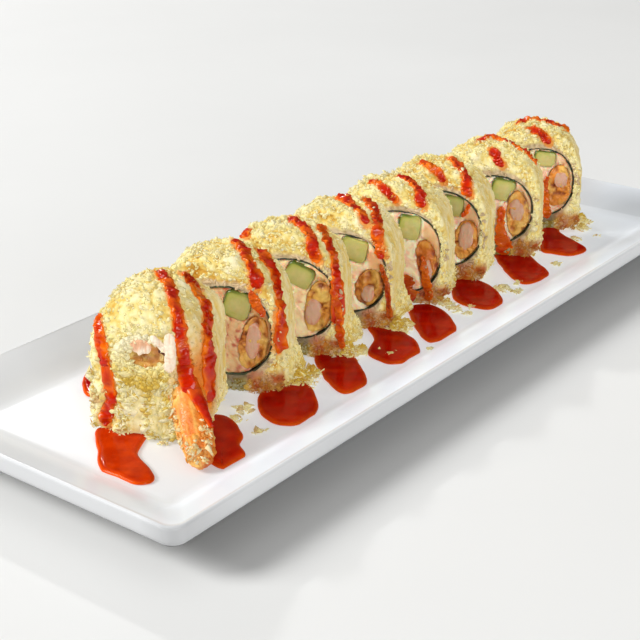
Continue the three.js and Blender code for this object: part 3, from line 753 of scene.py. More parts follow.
def coat_tint(coat, seed, mouthed):
    grid, relief, near = coat["grid"], coat["relief"], coat["near"]
    # Painted shade in the creases and painted light on the high spots.
    tint = mix(DEEP, YELLOW, 0.45 + relief * 1.1)
    tint = mix(tint, CREAM, (relief - 0.2) * 0.9 + (0.25 if mouthed else 0.0))
    tint = mix(tint, ROAST_AND_CREASE_SHADE, (-0.25 - relief) * 1.6 * (1 - near))
    # The pressed fibres of the near wall, painted a little darker as shade.
    pressed_and_shaded = mix(DEEP, CREAM, 0.4 + 0.6 * coat["fibre"]) * 0.93
    tint = mix(tint, pressed_and_shaded, 0.85 * near)
    if not mouthed:
        foot = np.clip(1.3 - grid[..., 2] / 7, 0, 0.8) * (grid[..., 1] < 0)
        tint = mix(tint, GOLDEN_CRUMB * 0.85, foot)
    grains = mix(RICE_SHADE, RICE, 0.75 + lumps(grid, 1.1, seed + 4))
    tint = sauce_stains_and_foot_shade(mix(tint, grains, coat["rice"]), grid, mouthed)
    soaked = 0.9 - coat["gap"] / 0.8 + 0.5 * lumps(grid, 2.2, seed + 9)
    return mix(tint, STAIN, np.clip(soaked, 0, 0.85))


coats = []
for index, (piece, lines) in enumerate(zip(rolls, sauce_lines)):
    mouthed = index == 0
    seed = 11 * index + 3
    fields = coat_fields(piece, lines, seed, mouthed)
    points = coat_points(fields, seed, mouthed)
    coats.append(points)
    faces = grid_faces(*points.shape[:2], wrap_rows=True).tolist()
    tint = coat_tint(fields, seed, mouthed)
    make_piece(f"roll_{index + 1}_coat", on_plate(piece, points).reshape(-1, 3), faces, crisp,
               [f"roll_{index + 1}_rice_and_crumbs"], tint.reshape(-1, 3))
print("coats:", len(coats), "with", len(faces), "faces in the last")

# %% [markdown]
# Loose crumbs sit on the coat, each its own little closed mesh. Crumbs for frying are shaved
# from bread, so one is a thin bent flake with two pointed ends and twelve faces. A helper makes
# a whole crowd of them at once from a list of middles, sizes and turns.

# %% A crowd of small flakes
FLAKE = np.array([
    (-1, 0, 0), (-0.4, 0.9, 0.35), (-0.4, -0.9, 0.35), (-0.4, 0, -0.5), (0.45, 0.8, 0.2),
    (0.45, -0.8, 0.2), (0.45, 0, -0.6), (1, 0.1, -0.25),
])
FLAKE_FACES = np.array([
    (0, 2, 1), (0, 3, 2), (0, 1, 3), (1, 2, 5), (1, 5, 4), (2, 3, 6), (2, 6, 5), (3, 1, 4),
    (3, 4, 6), (7, 4, 5), (7, 5, 6), (7, 6, 4),
])


def unit(vectors):
    return vectors / np.maximum(np.linalg.norm(vectors, axis=-1, keepdims=True), 1e-9)


def lying_turns(draw, up, tilt):
    ahead = unit(np.cross(up, draw.normal(size=up.shape)))
    lean = draw.normal(0, 1, (len(up), 1)) * tilt
    over = up * np.cos(lean) - ahead * np.sin(lean)
    ahead = ahead * np.cos(lean) + up * np.sin(lean)
    return np.stack([ahead, np.cross(over, ahead), over], -1)


def crowd(draw, middles, sizes, turns, base=FLAKE, base_faces=FLAKE_FACES, rough=0.3):
    count = len(middles)
    corners = base[None] * sizes[:, None, :]
    corners = corners * (1 + rough * draw.uniform(-1, 1, (count, len(base), 1)))
    corners = np.einsum("nij,nkj->nki", turns, corners)
    faces = base_faces[None] + len(base) * np.arange(count)[:, None, None]
    return corners + middles[:, None, :], faces.reshape(-1, base_faces.shape[1])


def flake_sizes(draw, count, usual=0.68):
    length = usual * np.exp(draw.normal(0, 0.32, count))
    width = length * draw.uniform(0.5, 0.95, count)
    return np.stack([length, width, width * draw.uniform(0.5, 0.8, count)], -1)


turns = lying_turns(np.random.default_rng(2), np.tile([0.0, 0.0, 1.0], (3, 1)), 0.3)
print("a turn keeps sizes:", np.linalg.det(turns).round(3))

# %% [markdown]
# Flakes are thrown evenly over the points of each coat that are really crumbs: not on the
# rice, not in the hole, and hardly any where sauce lies. They lie on the crust with a random
# lean, higher and steeper on the heaps of the top and flat on the near side, where the pieces
# were pressed, so the outline of the roll turns fuzzy. The first step picks their places.

# %% Places for the loose crumbs
FLAKES_DRAWN = 4300
FIRST_CRUMB_ROW = 5
LAST_CRUMB_ROW = 62


def flake_places(draw, piece, lines, coat, seed, mouthed):
    count = FLAKES_DRAWN
    row = draw.integers(0 if mouthed else FIRST_CRUMB_ROW, LAST_CRUMB_ROW, count)
    column = draw.integers(0, coat.shape[1], count)
    spot = coat[row, column]
    ahead = coat[np.minimum(row + 1, len(coat) - 1), column] - spot
    beside = coat[row, (column + 1) % coat.shape[1]] - spot
    up = unit(np.cross(beside, ahead))
    away = spot - np.array([piece["length"] / 2, 0, piece["height"] / 2])
    up = up * np.sign((up * away).sum(-1, keepdims=True))
    middles = spot + ahead * draw.random((count, 1)) + beside * draw.random((count, 1))
    near = near_share(up) * np.clip(middles[:, 2] / 8 - 1, 0, 1)
    heaps = np.clip(lumps(middles, 4.5, seed), 0, 1) * 1.5 * (1 - near)
    lift = draw.random(count) ** 1.8 * (0.4 - 0.2 * near + 0.7 * heaps) - 0.12
    middles = middles + up * lift[:, None]
    gap = sauce_gap(piece, lines, middles)
    keep = (gap > -0.6 + draw.random(count) * 0.9) & (middles[:, 2] > 0.6)
    thin_out = 0.6 * near
    if mouthed:
        thin_out = np.maximum(thin_out, 0.65 * soft_spot(middles, DOME_TOP, DOME_REACH))
    keep = keep & (draw.random(count) > thin_out)
    return middles[keep], up[keep], lift[keep], near[keep], gap[keep]


kept = flake_places(np.random.default_rng(51), rolls[1], sauce_lines[1], coats[1], 51, False)
print("flakes kept on the second piece:", len(kept[0]), "of", FLAKES_DRAWN)

# %% [markdown]
# Then each flake gets its turn, its size and one flat colour. High flakes are painted paler as
# light and near-wall flakes a little darker as shade; a few are deep yellow, and most of those by
# a line of sauce are orange. The same soft places that colour the coat colour its flakes too,
# painted shade at the foot included, so the seam and the feet look like one surface.

# %% Loose crumbs on the coats
CRUMB_FLOOR = 0.1


def flake_tints(draw, middles, lift, near, gap, mouthed):
    count = len(middles)
    # High flakes are painted paler, as painted light.
    tint = mix(YELLOW, CREAM, draw.random(count) * 0.8 + lift * 0.35 - 0.1)
    # Flakes on the near wall are painted a little darker, as painted shade.
    tint = mix(tint, DEEP, (draw.random(count) < 0.14) * 0.5) * (1 - 0.12 * near[:, None])
    stained = np.clip(1.2 - gap / 0.9, 0, 1) * (draw.random(count) < 0.75) * 0.9
    return sauce_stains_and_foot_shade(mix(tint, STAIN, stained), middles, mouthed)


for index, (piece, lines) in enumerate(zip(rolls, sauce_lines)):
    mouthed = index == 0
    draw = np.random.default_rng(50 + index)
    places = flake_places(draw, piece, lines, coats[index], 50 + index, mouthed)
    middles, up, lift, near, gap = places
    turns = lying_turns(draw, up, 0.5 - 0.3 * near[:, None])
    sizes = flake_sizes(draw, len(middles)) * (1 - 0.45 * near[:, None])
    corners, faces = crowd(draw, middles, sizes, turns)
    corners[..., 2] = np.maximum(corners[..., 2], CRUMB_FLOOR)
    tint = np.repeat(flake_tints(draw, middles, lift, near, gap, mouthed), len(FLAKE), 0)
    make_piece(f"roll_{index + 1}_crumbs", on_plate(piece, corners).reshape(-1, 3), faces.tolist(),
               crisp, [f"roll_{index + 1}_rice_and_crumbs"], tint)
print("crumbs on the last piece:", len(corners))

# %% [markdown]
# A line of sauce is a soft ribbon with a domed top. It rides over crumbs, so its edges wander
# and its top is bumpy. Thin sauce lets light through and looks orange, thick sauce is a deep
# red, so the colour goes by how high the point stands on the ribbon. The width asked for is that
# of a smooth ribbon, and the wandering edges reach past it.

# %% A ribbon of sauce
RED = colour(190, 30, 0)
ORANGE = colour(236, 112, 12)
RIBBON_SIDES = 16


def ribbon(path, up, width, thick, seed, under=None, around=RIBBON_SIDES, ragged=1.0):
    ahead = np.gradient(path, axis=0)
    across = unit(np.cross(ahead, up))
    width = np.broadcast_to(width, len(path)).astype(float)
    run = np.concatenate([[0], np.cumsum(np.linalg.norm(np.diff(path, axis=0), axis=-1))])
    end = np.minimum(run, run[-1] - run) / (width * 0.8)
    cap = np.sqrt(np.clip(1 - (1 - np.clip(end, 0, 1)) ** 2, 0.02, 1))
    angle = np.linspace(0, 2 * np.pi, around, endpoint=False)
    out, top = np.cos(angle), np.sin(angle)
    half = (width / 2 * cap)[:, None] * out
    spots = path[:, None] + across[:, None] * half[..., None]
    uneven = 0.34 * lumps(spots, 2.6, seed) + 0.3 * lumps(spots, 1.0, seed + 1)
    half = half * (1.1 + ragged * uneven)
    height = np.where(top > 0, thick * np.abs(top) ** 0.6, -0.7 * np.abs(top)) * cap[:, None]
    pimples = np.abs(lumps(spots, 1.2, seed + 2)) + 0.5 * np.abs(lumps(spots, 0.6, seed + 4)) - 0.3
    height = height + pimples * ragged * np.clip(top * 1.4, 0, 1) * cap[:, None]
    if under is not None:
        height = height + 0.9 * crumb_relief(spots, under)
    points = path[:, None] + across[:, None] * half[..., None] + up[:, None] * height[..., None]
    red = np.clip(top, 0, 1) * 1.1 + 0.9 * lumps(spots, 3.4, seed + 3) - 0.5 * pimples
    return points, mix(ORANGE, RED, red + thick * 0.3 - 0.3)


straight = np.linspace([0.0, 0, 0], [20, 0, 0], 30)
points, _ = ribbon(straight, np.tile([0.0, 0, 1], (30, 1)), 4.0, 0.7, 1)
print("a ribbon 4 mm wide comes out", np.ptp(points[..., 1]).round(1), "mm wide")

# %% [markdown]
# Several ribbons on one piece are easier to handle as one object, so a helper joins their
# points, faces and colours. The lines use the same relief as the coat under them: that way
# they ride over its heaps instead of sinking into them.

# %% Lines of sauce on the pieces
LINE_POINTS = 90
LINE_STAND = 0.8
LINE_THICKNESS = 0.7


def merge(parts):
    points, faces, tints = [], [], []
    start = 0
    for part_points, part_faces, part_tint in parts:
        flat = np.reshape(part_points, (-1, 3))
        faces += [[corner + start for corner in face] for face in part_faces]
        points.append(flat)
        tints.append(np.reshape(part_tint, (-1, 3)))
        start += len(flat)
    return np.concatenate(points), faces, np.concatenate(tints)


def sauce_on(piece, lines, seed, under):
    parts = []
    for order, (width, stops) in enumerate(lines):
        low = line_on_crust(piece, stops, LINE_POINTS, -LINE_STAND)
        high = line_on_crust(piece, stops, LINE_POINTS, LINE_STAND)
        up = (high - low) / np.linalg.norm(high - low, axis=-1, keepdims=True)
        middle = low + up * LINE_STAND
        points, tint = ribbon(middle, up, width, LINE_THICKNESS, seed + 7 * order, under)
        points[..., 2] = np.maximum(points[..., 2], CRUMB_FLOOR)
        parts.append((on_plate(piece, points), tube_faces(*points.shape[:2]), tint))
    return merge(parts)


for index, (piece, lines) in enumerate(zip(rolls, sauce_lines)):
    points, faces, tint = sauce_on(piece, lines, 300 + 20 * index, 11 * index + 3)
    make_piece(f"roll_{index + 1}_sauce", points, faces, sauce_finish,
               [f"roll_{index + 1}_rice_and_crumbs"], tint)
print("faces in the last lines of sauce:", len(faces))

# %% [markdown]
# The sheet of seaweed is a thin closed band round the filling. Damp seaweed buckles, so its
# line wavers, and rice and filling close over its cut edge here and there. In the end piece it
# stops short of the domed end, which has no cut face.

# %% Seaweed
NORI_BLACK = colour(26, 34, 20)
NORI_GREEN = colour(62, 72, 40)
BAND_POINTS = 144
BURIED_END = 9.6


def seaweed_of(piece, seed, start):
    theta = np.linspace(0, 2 * np.pi, BAND_POINTS, endpoint=False)
    end = piece["length"] + 0.2
    rings = [(start, 0.1), (start, 0.5), (start + 4, 0.7), (end - 4, 0.7), (end, 0.5),
             (end, 0.1), (end - 4, 0.1), (start + 4, 0.1)]
    rows = []
    for x, grow in rings:
        flat = oval_edge(piece["seaweed"], theta, grow)
        rows.append(np.stack([np.full(BAND_POINTS, x), -flat[:, 0], flat[:, 1]], -1))
    grid = np.stack(rows)
    sway = lumps(np.stack([grid[0, :, 1], grid[0, :, 2], grid[0, :, 0]], -1), 3.5, seed)
    middle = np.array([0, -piece["seaweed"][0], piece["seaweed"][1]])
    outward = (grid - middle) * np.array([0, 1, 1])
    outward /= np.linalg.norm(outward, axis=-1, keepdims=True)
    grid = grid + outward * 0.35 * sway[None, :, None]
    torn = 0.35 * lumps(grid, 1.8, seed + 1) + 2.2 * np.clip(lumps(grid, 4, seed + 3) - 0.25, 0, 1)
    grid[..., 0] += torn * np.array([1, 1, 0, 0, -1, -1, 0, 0])[:, None]
    tint = mix(NORI_BLACK, NORI_GREEN, 0.4 + lumps(grid, 1.5, seed + 2))
    return grid, tint


for index, piece in enumerate(rolls):
    grid, tint = seaweed_of(piece, 500 + index, BURIED_END if index == 0 else -0.2)
    faces = grid_faces(*grid.shape[:2], wrap_rows=True).tolist()
    make_piece(f"roll_{index + 1}_seaweed", on_plate(piece, grid).reshape(-1, 3), faces,
               seaweed_finish, [f"roll_{index + 1}_nori"], tint.reshape(-1, 3))
print("seaweed faces:", len(faces))

# %% [markdown]
# A filling is a plug with an uneven outline that runs through the piece and shows at both cut
# faces. One helper makes any plug from its outline: rings shrink towards the middle on each
# face, the edge is rounded, and a relief function says how far each point bulges. Where two
# fillings would overlap, the outline is found by walking out from the middle until the
# neighbour begins. Only in the end piece do the fillings start further in, behind its mouth.

# %% Plugs that run through a piece
FILLING_STARTS = [10.0] + [0.0] * 7


def inside_oval(oval, side, z, grow=0.0, power=2.2):
    middle_side, middle_z, half_width, half_height, turn = oval
    c, s = math.cos(math.radians(turn)), math.sin(math.radians(turn))
    u = (side - middle_side) * c + (z - middle_z) * s
    v = -(side - middle_side) * s + (z - middle_z) * c
    across = (np.abs(u) / (half_width + grow)) ** power
    return across + (np.abs(v) / (half_height + grow)) ** power < 1


def walk_out(middle, allowed, count, seed, wobble):
    theta = np.linspace(0, 2 * np.pi, count, endpoint=False)
    reach = np.arange(0.2, 20, 0.04)
    side = middle[0] + reach[None] * np.cos(theta)[:, None]
    z = middle[1] + reach[None] * np.sin(theta)[:, None]
    stop = np.argmin(allowed(side, z), axis=1)
    far = reach[np.maximum(stop - 1, 0)]
    edge = np.stack([np.cos(theta), np.sin(theta)], -1)
    uneven = lumps(np.concatenate([edge * 4, np.zeros((count, 1))], -1), 1.3, seed)
    far = far * (1 - wobble * (0.5 + 0.5 * uneven))
    return np.asarray(middle) + edge * far[:, None]


def plug(edge, middle, front, rear, relief, rings=11, bevel=0.5):
    shares = np.concatenate([np.linspace(0.05, 0.93, rings), [0.975, 1.0]])
    drop = np.concatenate([np.zeros(rings), [0.35 * bevel, bevel]])
    flat = middle + shares[:, None, None] * (edge - middle)
    bulge = relief(flat[..., 0], flat[..., 1], shares[:, None])
    near = np.stack([front + drop[:, None] - bulge, -flat[..., 0], flat[..., 1]], -1)
    far = np.stack([rear - drop[:, None] + bulge, -flat[..., 0], flat[..., 1]], -1)
    grid = np.concatenate([near, far[::-1]])
    return grid, np.concatenate([shares, shares[::-1]])


def plug_piece(name, piece, grid, finish, node, tint):
    make_piece(name, on_plate(piece, grid).reshape(-1, 3), tube_faces(*grid.shape[:2]), finish,
               [node], tint.reshape(-1, 3))


outline = walk_out((0, 0), lambda side, z: np.hypot(side, z) < 5, 12, 1, 0.1)
print("a walk out to 5 mm stops at", np.hypot(*outline.T).min().round(2), "mm at the least")

# %% [markdown]
# Cucumber sticks are cut square, with the green skin left on one or two sides. The flesh is
# pale and wet and slightly domed where the knife let go. Its colour runs from the seedy middle
# to the green just under the skin. The table gives each stick its brightness and the side, in
# degrees, where most skin is left.

# %% Cucumber
FLESH = colour(208, 198, 128)
UNDER_SKIN = colour(182, 187, 80)
SKIN = colour(96, 112, 34)
CUCUMBER_POINTS = 72
cucumber_looks = [(1, 132), (0.84, 140), (0.9, 80), (0.95, 205), (0.95, 150), (0.88, 130),
                  (0.95, 120), (0.95, 110)]


def cucumber_of(piece, seed, start, shade, skin_side):
    block = piece["cucumber"]

    def allowed(side, z):
        free = inside_oval(block, side, z, power=5) & inside_oval(piece["seaweed"], side, z, -0.25)
        return free & ~inside_oval(piece["shrimp"], side, z, 0.25)

    middle = np.array(block[:2])
    edge = walk_out(middle, allowed, CUCUMBER_POINTS, seed, 0.03)

    def relief(side, z, share):
        spot = np.stack([side, z, 0 * side], -1)
        return 0.25 + 0.3 * (1 - share**2) + 0.1 * lumps(spot, 1.6, seed)

    grid, share = plug(edge, middle, start, piece["length"], relief)
    spot = grid - np.array([0, -middle[0], middle[1]])
    bearing = np.arctan2(spot[..., 2], -spot[..., 1])
    share = share[:, None]
    skinned = 0.35 + 0.75 * np.cos(bearing - math.radians(skin_side))
    skinned = skinned + 0.35 * lumps(grid, 3, seed + 1)
    seeds = np.clip(lumps(grid * [1, 1, 0.6], 1.1, seed + 2) - 0.3, 0, 1) * (share < 0.6)
    tint = mix(FLESH, UNDER_SKIN, (share - 0.4) * (0.8 + np.clip(skinned, 0, 1)) + seeds)
    rind = np.clip((share - 0.8) * 8, 0, 1)
    return grid, mix(tint, SKIN, rind * np.clip(skinned, 0.06, 1)) * shade


for index, (piece, (shade, skin_side)) in enumerate(zip(rolls, cucumber_looks)):
    grid, tint = cucumber_of(piece, 600 + index, FILLING_STARTS[index], shade**2, skin_side)
    plug_piece(f"roll_{index + 1}_cucumber_stick", piece, grid, cucumber_finish,
               f"roll_{index + 1}_cucumber", tint)
print("cucumber outline points:", grid.shape[1])

# %% [markdown]
# The shrimp was fried in batter before it was rolled in. Its batter is a craggy golden tube
# with dark specks. Noise gives it blobs of two sizes, and the same blobs choose its colours:
# the hollows are painted brown as shade and the high blobs paler as light. No two were fried
# alike: a table tones each one in red, green and blue.

# %% Batter round the shrimp
BATTER_GOLD = colour(212, 136, 48)
BATTER_BROWN = colour(142, 68, 16)
BATTER_PALE = colour(228, 184, 96)
BATTER_POINTS = 90
batter_tones = [(1, 1, 1), (0.92, 0.92, 0.9), (0.95, 1.02, 0.95), (0.84, 0.76, 0.62),
                (0.86, 0.58, 0.3), (1, 0.92, 0.85), (1, 1, 1), (1.04, 0.98, 0.86)]


def batter_of(piece, seed, start):
    shrimp = piece["shrimp"]

    def allowed(side, z):
        return inside_oval(shrimp, side, z) & inside_oval(piece["seaweed"], side, z, -0.2)

    middle = np.array(shrimp[:2])
    edge = walk_out(middle, allowed, BATTER_POINTS, seed, 0.15)

    def crags(side, z):
        spot = np.stack([side, z, 0 * side], -1)
        blobs = np.maximum(lumps(spot, 2.4, seed), lumps(spot, 1.9, seed + 1))
        return blobs + 0.4 * lumps(spot, 0.9, seed + 5)

    def relief(side, z, share):
        return 1.1 * crags(side, z) - 0.2

    grid, share = plug(edge, middle, start, piece["length"], relief, rings=15)
    height = crags(-grid[..., 1], grid[..., 2])
    tint = mix(BATTER_BROWN, BATTER_GOLD, 0.7 + 1.3 * height + 0.4 * lumps(grid, 3, seed + 2))
    tint = mix(tint, BATTER_PALE, 0.15 + lumps(grid, 3.2, seed + 3) * 1.3 + height * 0.6)
    rim = (share[:, None] - 0.86) * 5 * np.clip(lumps(grid, 4, seed + 4) + 0.25, 0, 1)
    return grid, mix(tint, BATTER_BROWN, rim)


grid, tint = batter_of(rolls[1], 701, FILLING_STARTS[1])
print("batter rings by points:", grid.shape[:2])

# %% [markdown]
# The meat inside the batter is paler, pink and smooth, and swells a little out of the cut. Its
# faint grain runs up and down, so the noise is squeezed sideways. Batter and meat both stand for
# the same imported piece, so one loop makes the two of them roll by roll.

# %% Shrimp in its batter
MEAT = colour(210, 172, 146)
MEAT_PINK = colour(198, 138, 108)
MEAT_POINTS = 64


def meat_of(piece, seed, start):
    middle = np.array(piece["meat"][:2])
    theta = np.linspace(0, 2 * np.pi, MEAT_POINTS, endpoint=False)
    edge = oval_edge(piece["meat"], theta)
    uneven = 1 + 0.1 * lumps(np.stack([*edge.T, 0 * theta], -1), 2, seed)
    edge = middle + (edge - middle) * uneven[:, None]

    def relief(side, z, share):
        spot = np.stack([side * 2.5, z, 0 * side], -1)
        return 0.55 + 0.35 * (1 - share**2) + 0.12 * lumps(spot, 1.5, seed + 1)

    grid, share = plug(edge, middle, start, piece["length"], relief, rings=9, bevel=0.9)
    pink = (share[:, None] - 0.7) * 2 + 0.8 * lumps(grid * [1, 2.2, 0.8], 1.8, seed + 2)
    return grid, mix(MEAT, MEAT_PINK, pink)


for index, (piece, tone) in enumerate(zip(rolls, batter_tones)):
    start, node = FILLING_STARTS[index], f"roll_{index + 1}_shrimp"
    grid, tint = batter_of(piece, 700 + index, start)
    plug_piece(f"{node}_batter", piece, grid, batter_finish, node, tint * np.array(tone))
    grid, tint = meat_of(piece, 760 + index, start)
    plug_piece(f"{node}_meat", piece, grid, meat_finish, node, tint)
print("meat rings by points:", grid.shape[:2])

# %% [markdown]
# Crab fills the rest of the roll. It is pressed from fine shreds, white with pink and a few
# red ones, so the relief and the colours are stretched along the shreds. Where cucumber and
# shrimp lie in it, it is pushed back out of their way. Two tables say how red each piece is and
# how bright, in red, green and blue.

# %% Crab
CRAB_WHITE = colour(248, 230, 198)
CRAB_PINK = colour(236, 196, 162)
CRAB_RED = colour(208, 100, 84)
CRAB_BROWN = colour(208, 160, 100)
CRAB_POINTS = 110
crab_redness = [0.3, 1.0, 0.5, 0.2, 0.3, 0.3, 0.2, 0.8]
crab_tones = [(1, 1, 1), (0.76, 0.66, 0.5), (1, 1, 0.84), (1.14, 1.08, 1.03), (1.1, 1.1, 1.1),
              (1, 1, 1), (1, 1, 1), (1, 1, 1)]


def crab_of(piece, seed, start, redness):
    middle = np.array(piece["seaweed"][:2])
    theta = np.linspace(0, 2 * np.pi, CRAB_POINTS, endpoint=False)
    edge = oval_edge(piece["seaweed"], theta)

    def shreds(side, z, size, seed):
        sway = 2.4 * lumps(np.stack([side, z, 0 * side], -1), 5, seed)
        stretched = np.stack([side * 1.6 + z * 0.4 + sway, z * 0.9, 0 * side], -1)
        return lumps(stretched, size, seed + 1)

    def relief(side, z, share):
        hidden = inside_oval(piece["shrimp"], side, z, -0.35)
        hidden = hidden | inside_oval(piece["cucumber"], side, z, 0.1, 5)
        strands = 0.5 * np.abs(shreds(side, z, 1.5, seed)) + 0.2 * shreds(side, z, 0.7, seed + 3)
        return np.where(hidden, -1.6, strands - 0.3)

    grid, share = plug(edge, middle, start, piece["length"], relief, rings=20)
    side, z = -grid[..., 1], grid[..., 2]
    pink = 0.3 + 0.2 * redness + 1.2 * shreds(side, z, 1.6, seed + 5)
    red = (shreds(side, z, 1.7, seed + 8) - 0.75 + 0.45 * redness) * 3
    tint = mix(mix(CRAB_WHITE, CRAB_PINK, pink), CRAB_RED, np.clip(red, 0, 0.85))
    rubbed = (side - middle[0] - 8) / 4 + 0.5 * shreds(side, z, 3, seed + 9)
    return grid, mix(tint, CRAB_BROWN, np.clip(rubbed, 0, 0.75))


for index, (piece, redness) in enumerate(zip(rolls, crab_redness)):
    grid, tint = crab_of(piece, 800 + index, FILLING_STARTS[index], redness)
    plug_piece(f"roll_{index + 1}_crab_shreds", piece, grid, meat_finish,
               f"roll_{index + 1}_crab", tint * np.array(crab_tones[index]))
print("crab rings by points:", grid.shape[:2])

# %% [markdown]
# Sauce that ran off the rolls lies in the well in thin pools. A pool is nearly flat on top,
# with a rounded edge where it clings to the glaze. Its outline is a smooth closed curve through
# a few places on the plate, its edge is a short profile of steps in and up, and rings then
# shrink to the middle.

# %% The shapes of the pools
pool_outlines = [
    [(-139, 7), (-150, -4), (-158, -14), (-158, -26), (-154, -31), (-149, -27), (-143, -15),
     (-133, -8)],
    [(-111, -15), (-107, -22), (-113, -33), (-119, -37), (-124, -43), (-134, -43), (-132, -33),
     (-121, -18)],
    [(-84, -17), (-95, -24), (-101, -36), (-96, -43), (-85, -42), (-74, -32), (-69, -20),
     (-76, -14)],
    [(-54, -17), (-63, -28), (-69, -39), (-66, -43), (-56, -42), (-44, -28), (-41, -19),
     (-47, -14)],
    [(-16, -13), (-26, -23), (-37, -28), (-40, -37), (-36, -43), (-25, -43), (-16, -34), (-9, -14)],
    [(0, -22), (-9, -31), (-15, -40), (-11, -43), (0, -43), (10, -34), (15, -22), (8, -16)],
    [(38, -17), (25.5, -26), (23.5, -35), (26, -42), (34, -43), (42, -37), (47.5, -28), (50, -12)],
    [(88, -6), (72, -18.5), (59, -34), (59, -41), (71, -43), (77, -39), (83.5, -30), (92, -17)],
    [(127, -10), (98, -24), (96, -32), (100, -40), (109, -41), (114.5, -33), (121, -22),
     (130, -14)],
    [(-106, 42), (-115, 39), (-121, 33), (-124, 27), (-118, 24), (-106, 32)],
]
POOL_PROFILE = [(0.4, 0.02), (0.0, 0.3), (0.05, 0.7), (0.3, 1.05), (0.7, 1.3), (1.2, 1.45),
                (1.7, 1.5)]
POOL_POINTS = 104
WELL_HALF_LENGTH = 158
WELL_HALF_WIDTH = 43


def pool_grid(outline, seed):
    edge = smooth_curve(outline, POOL_POINTS, closed=True)
    edge[:, 0] = np.clip(edge[:, 0], -WELL_HALF_LENGTH, WELL_HALF_LENGTH)
    edge[:, 1] = np.clip(edge[:, 1], -WELL_HALF_WIDTH, WELL_HALF_WIDTH)
    ahead = np.roll(edge, -2, 0) - np.roll(edge, 2, 0)
    ahead /= np.linalg.norm(ahead, axis=-1, keepdims=True)
    after = np.roll(edge, -1, 0)
    area = (edge[:, 0] * after[:, 1] - edge[:, 1] * after[:, 0]).sum()
    inward = np.stack([-ahead[:, 1], ahead[:, 0]], -1) * np.sign(area)
    waver = 0.35 * lumps(np.concatenate([edge, 0 * edge[:, :1]], -1), 4, seed)[:, None]
    rows = []
    for inset, height in POOL_PROFILE:
        flat = edge + inward * (inset + waver)
        rows.append(np.concatenate([flat, np.full((POOL_POINTS, 1), WELL + height)], -1))
    middle = rows[-1].mean(0)
    rows += [middle + (rows[-1] - middle) * share for share in np.linspace(0.92, 0.06, 12)]
    grid = np.stack(rows)
    inside = np.clip(np.arange(len(grid)) - 6, 0, 2)[:, None] / 2
    grid[..., 2] += inside * 0.12 * lumps(grid, 5, seed + 1)
    return grid


print("pool rings by points:", pool_grid(pool_outlines[0], 900).shape[:2])

# %% [markdown]
# The sauce is orange where it is thin, at the edge, and deep red further in. Towards the near
# edge of the plate it catches more light and is brighter. Streaks in it run the way it flowed,
# so the noise is looked up on a plane that is stretched along that way.

# %% Pools of sauce
POOL_DEEP = colour(162, 0, 0)
POOL_BRIGHT = colour(226, 24, 0)
POOL_EDGE = colour(238, 90, 6)
FLOW = np.array([[0.8, 0.3, 0], [0.6, -0.12, 0], [0, 0, 0]])
THIN_ROWS = [0, 1, 2, 3, 4, 5, 6, 8]
THIN_SHARES = [0.95, 0.95, 0.8, 0.6, 0.4, 0.22, 0.1, 0]


def pool_tint(grid, seed, shallow):
    streaks = lumps(grid @ FLOW, 2.4, seed + 2) + 0.6 * lumps(grid, 9, seed + 3)
    outer = np.clip((-grid[..., 1] - 24) / 16, 0, 1)
    tint = mix(POOL_DEEP, POOL_BRIGHT, 0.15 + 0.7 * outer + 0.22 * streaks)
    thin = np.interp(np.arange(len(grid)), THIN_ROWS, THIN_SHARES)[:, None]
    return mix(tint, POOL_EDGE, np.maximum(thin, shallow) + 0.1 * streaks)


for index, outline in enumerate(pool_outlines):
    grid = pool_grid(outline, 900 + index)
    tint = pool_tint(grid, 900 + index, 0.3 if index == 0 else 0.0)
    make_piece(f"pool_{index + 1}", grid.reshape(-1, 3), tube_faces(*grid.shape[:2]), pool_finish,
               [f"sauce_pool_{index + 1}"], tint.reshape(-1, 3))
print("pools:", len(pool_outlines))

# %% [markdown]
# A shrimp tail hangs out of the end piece and lies on the plate. It is a battered tube along a
# few stops, each with a place and a half width and half height, that flattens into a fin and
# closes in a rounded tip.

# %% The tube of the tail
tail_stops = [
    (-119, -12.5, 23, 5.2, 5.2), (-124.3, -19.5, 16, 5.6, 5.8), (-128.5, -25, 10.6, 5.8, 5.9),
    (-132.5, -30.5, 6.6, 5.5, 5.2), (-136.5, -35.5, 4, 4.4, 3.3), (-140, -39.5, 2.4, 2.6, 1.6),
]
TAIL_ROWS = 90
TAIL_SIDES = 84
TIP_ROWS = 6


def tail_frame(count):
    path = smooth_curve(tail_stops, count)
    middle, half = path[:, :3].copy(), path[:, 3:]
    middle[:, 2] += WELL
    ahead = unit(np.gradient(middle, axis=0))
    across = unit(np.cross(ahead, [0, 0, 1]))
    return middle, half, across, np.cross(across, ahead)


middle, half, across, over = tail_frame(TAIL_ROWS)
around = np.linspace(0, 2 * np.pi, TAIL_SIDES, endpoint=False)
outward = across[:, None] * np.cos(around)[:, None] + over[:, None] * np.sin(around)[:, None]
tip = np.sqrt(np.clip((TAIL_ROWS - np.arange(TAIL_ROWS)) / TIP_ROWS, 0.03, 1))[:, None]
tube = middle[:, None] + across[:, None] * (half[:, :1] * tip * np.cos(around))[..., None]
tube = tube + over[:, None] * (half[:, 1:] * tip * np.sin(around))[..., None]
print("length of the tail:", np.linalg.norm(np.diff(middle, axis=0), axis=-1).sum().round(1), "mm")

# %% [markdown]
# Crags in the batter come from the same noise as the crumbs. Towards the fin the batter is
# thinner and the shell shows through as stripes, which run along the tail: their noise is
# looked up by how far along and which way round a point lies. The hollows of the crags are
# painted darker as shade, one side of the tail is painted paler as light, and near the tip the
# other side is painted darker as shade.

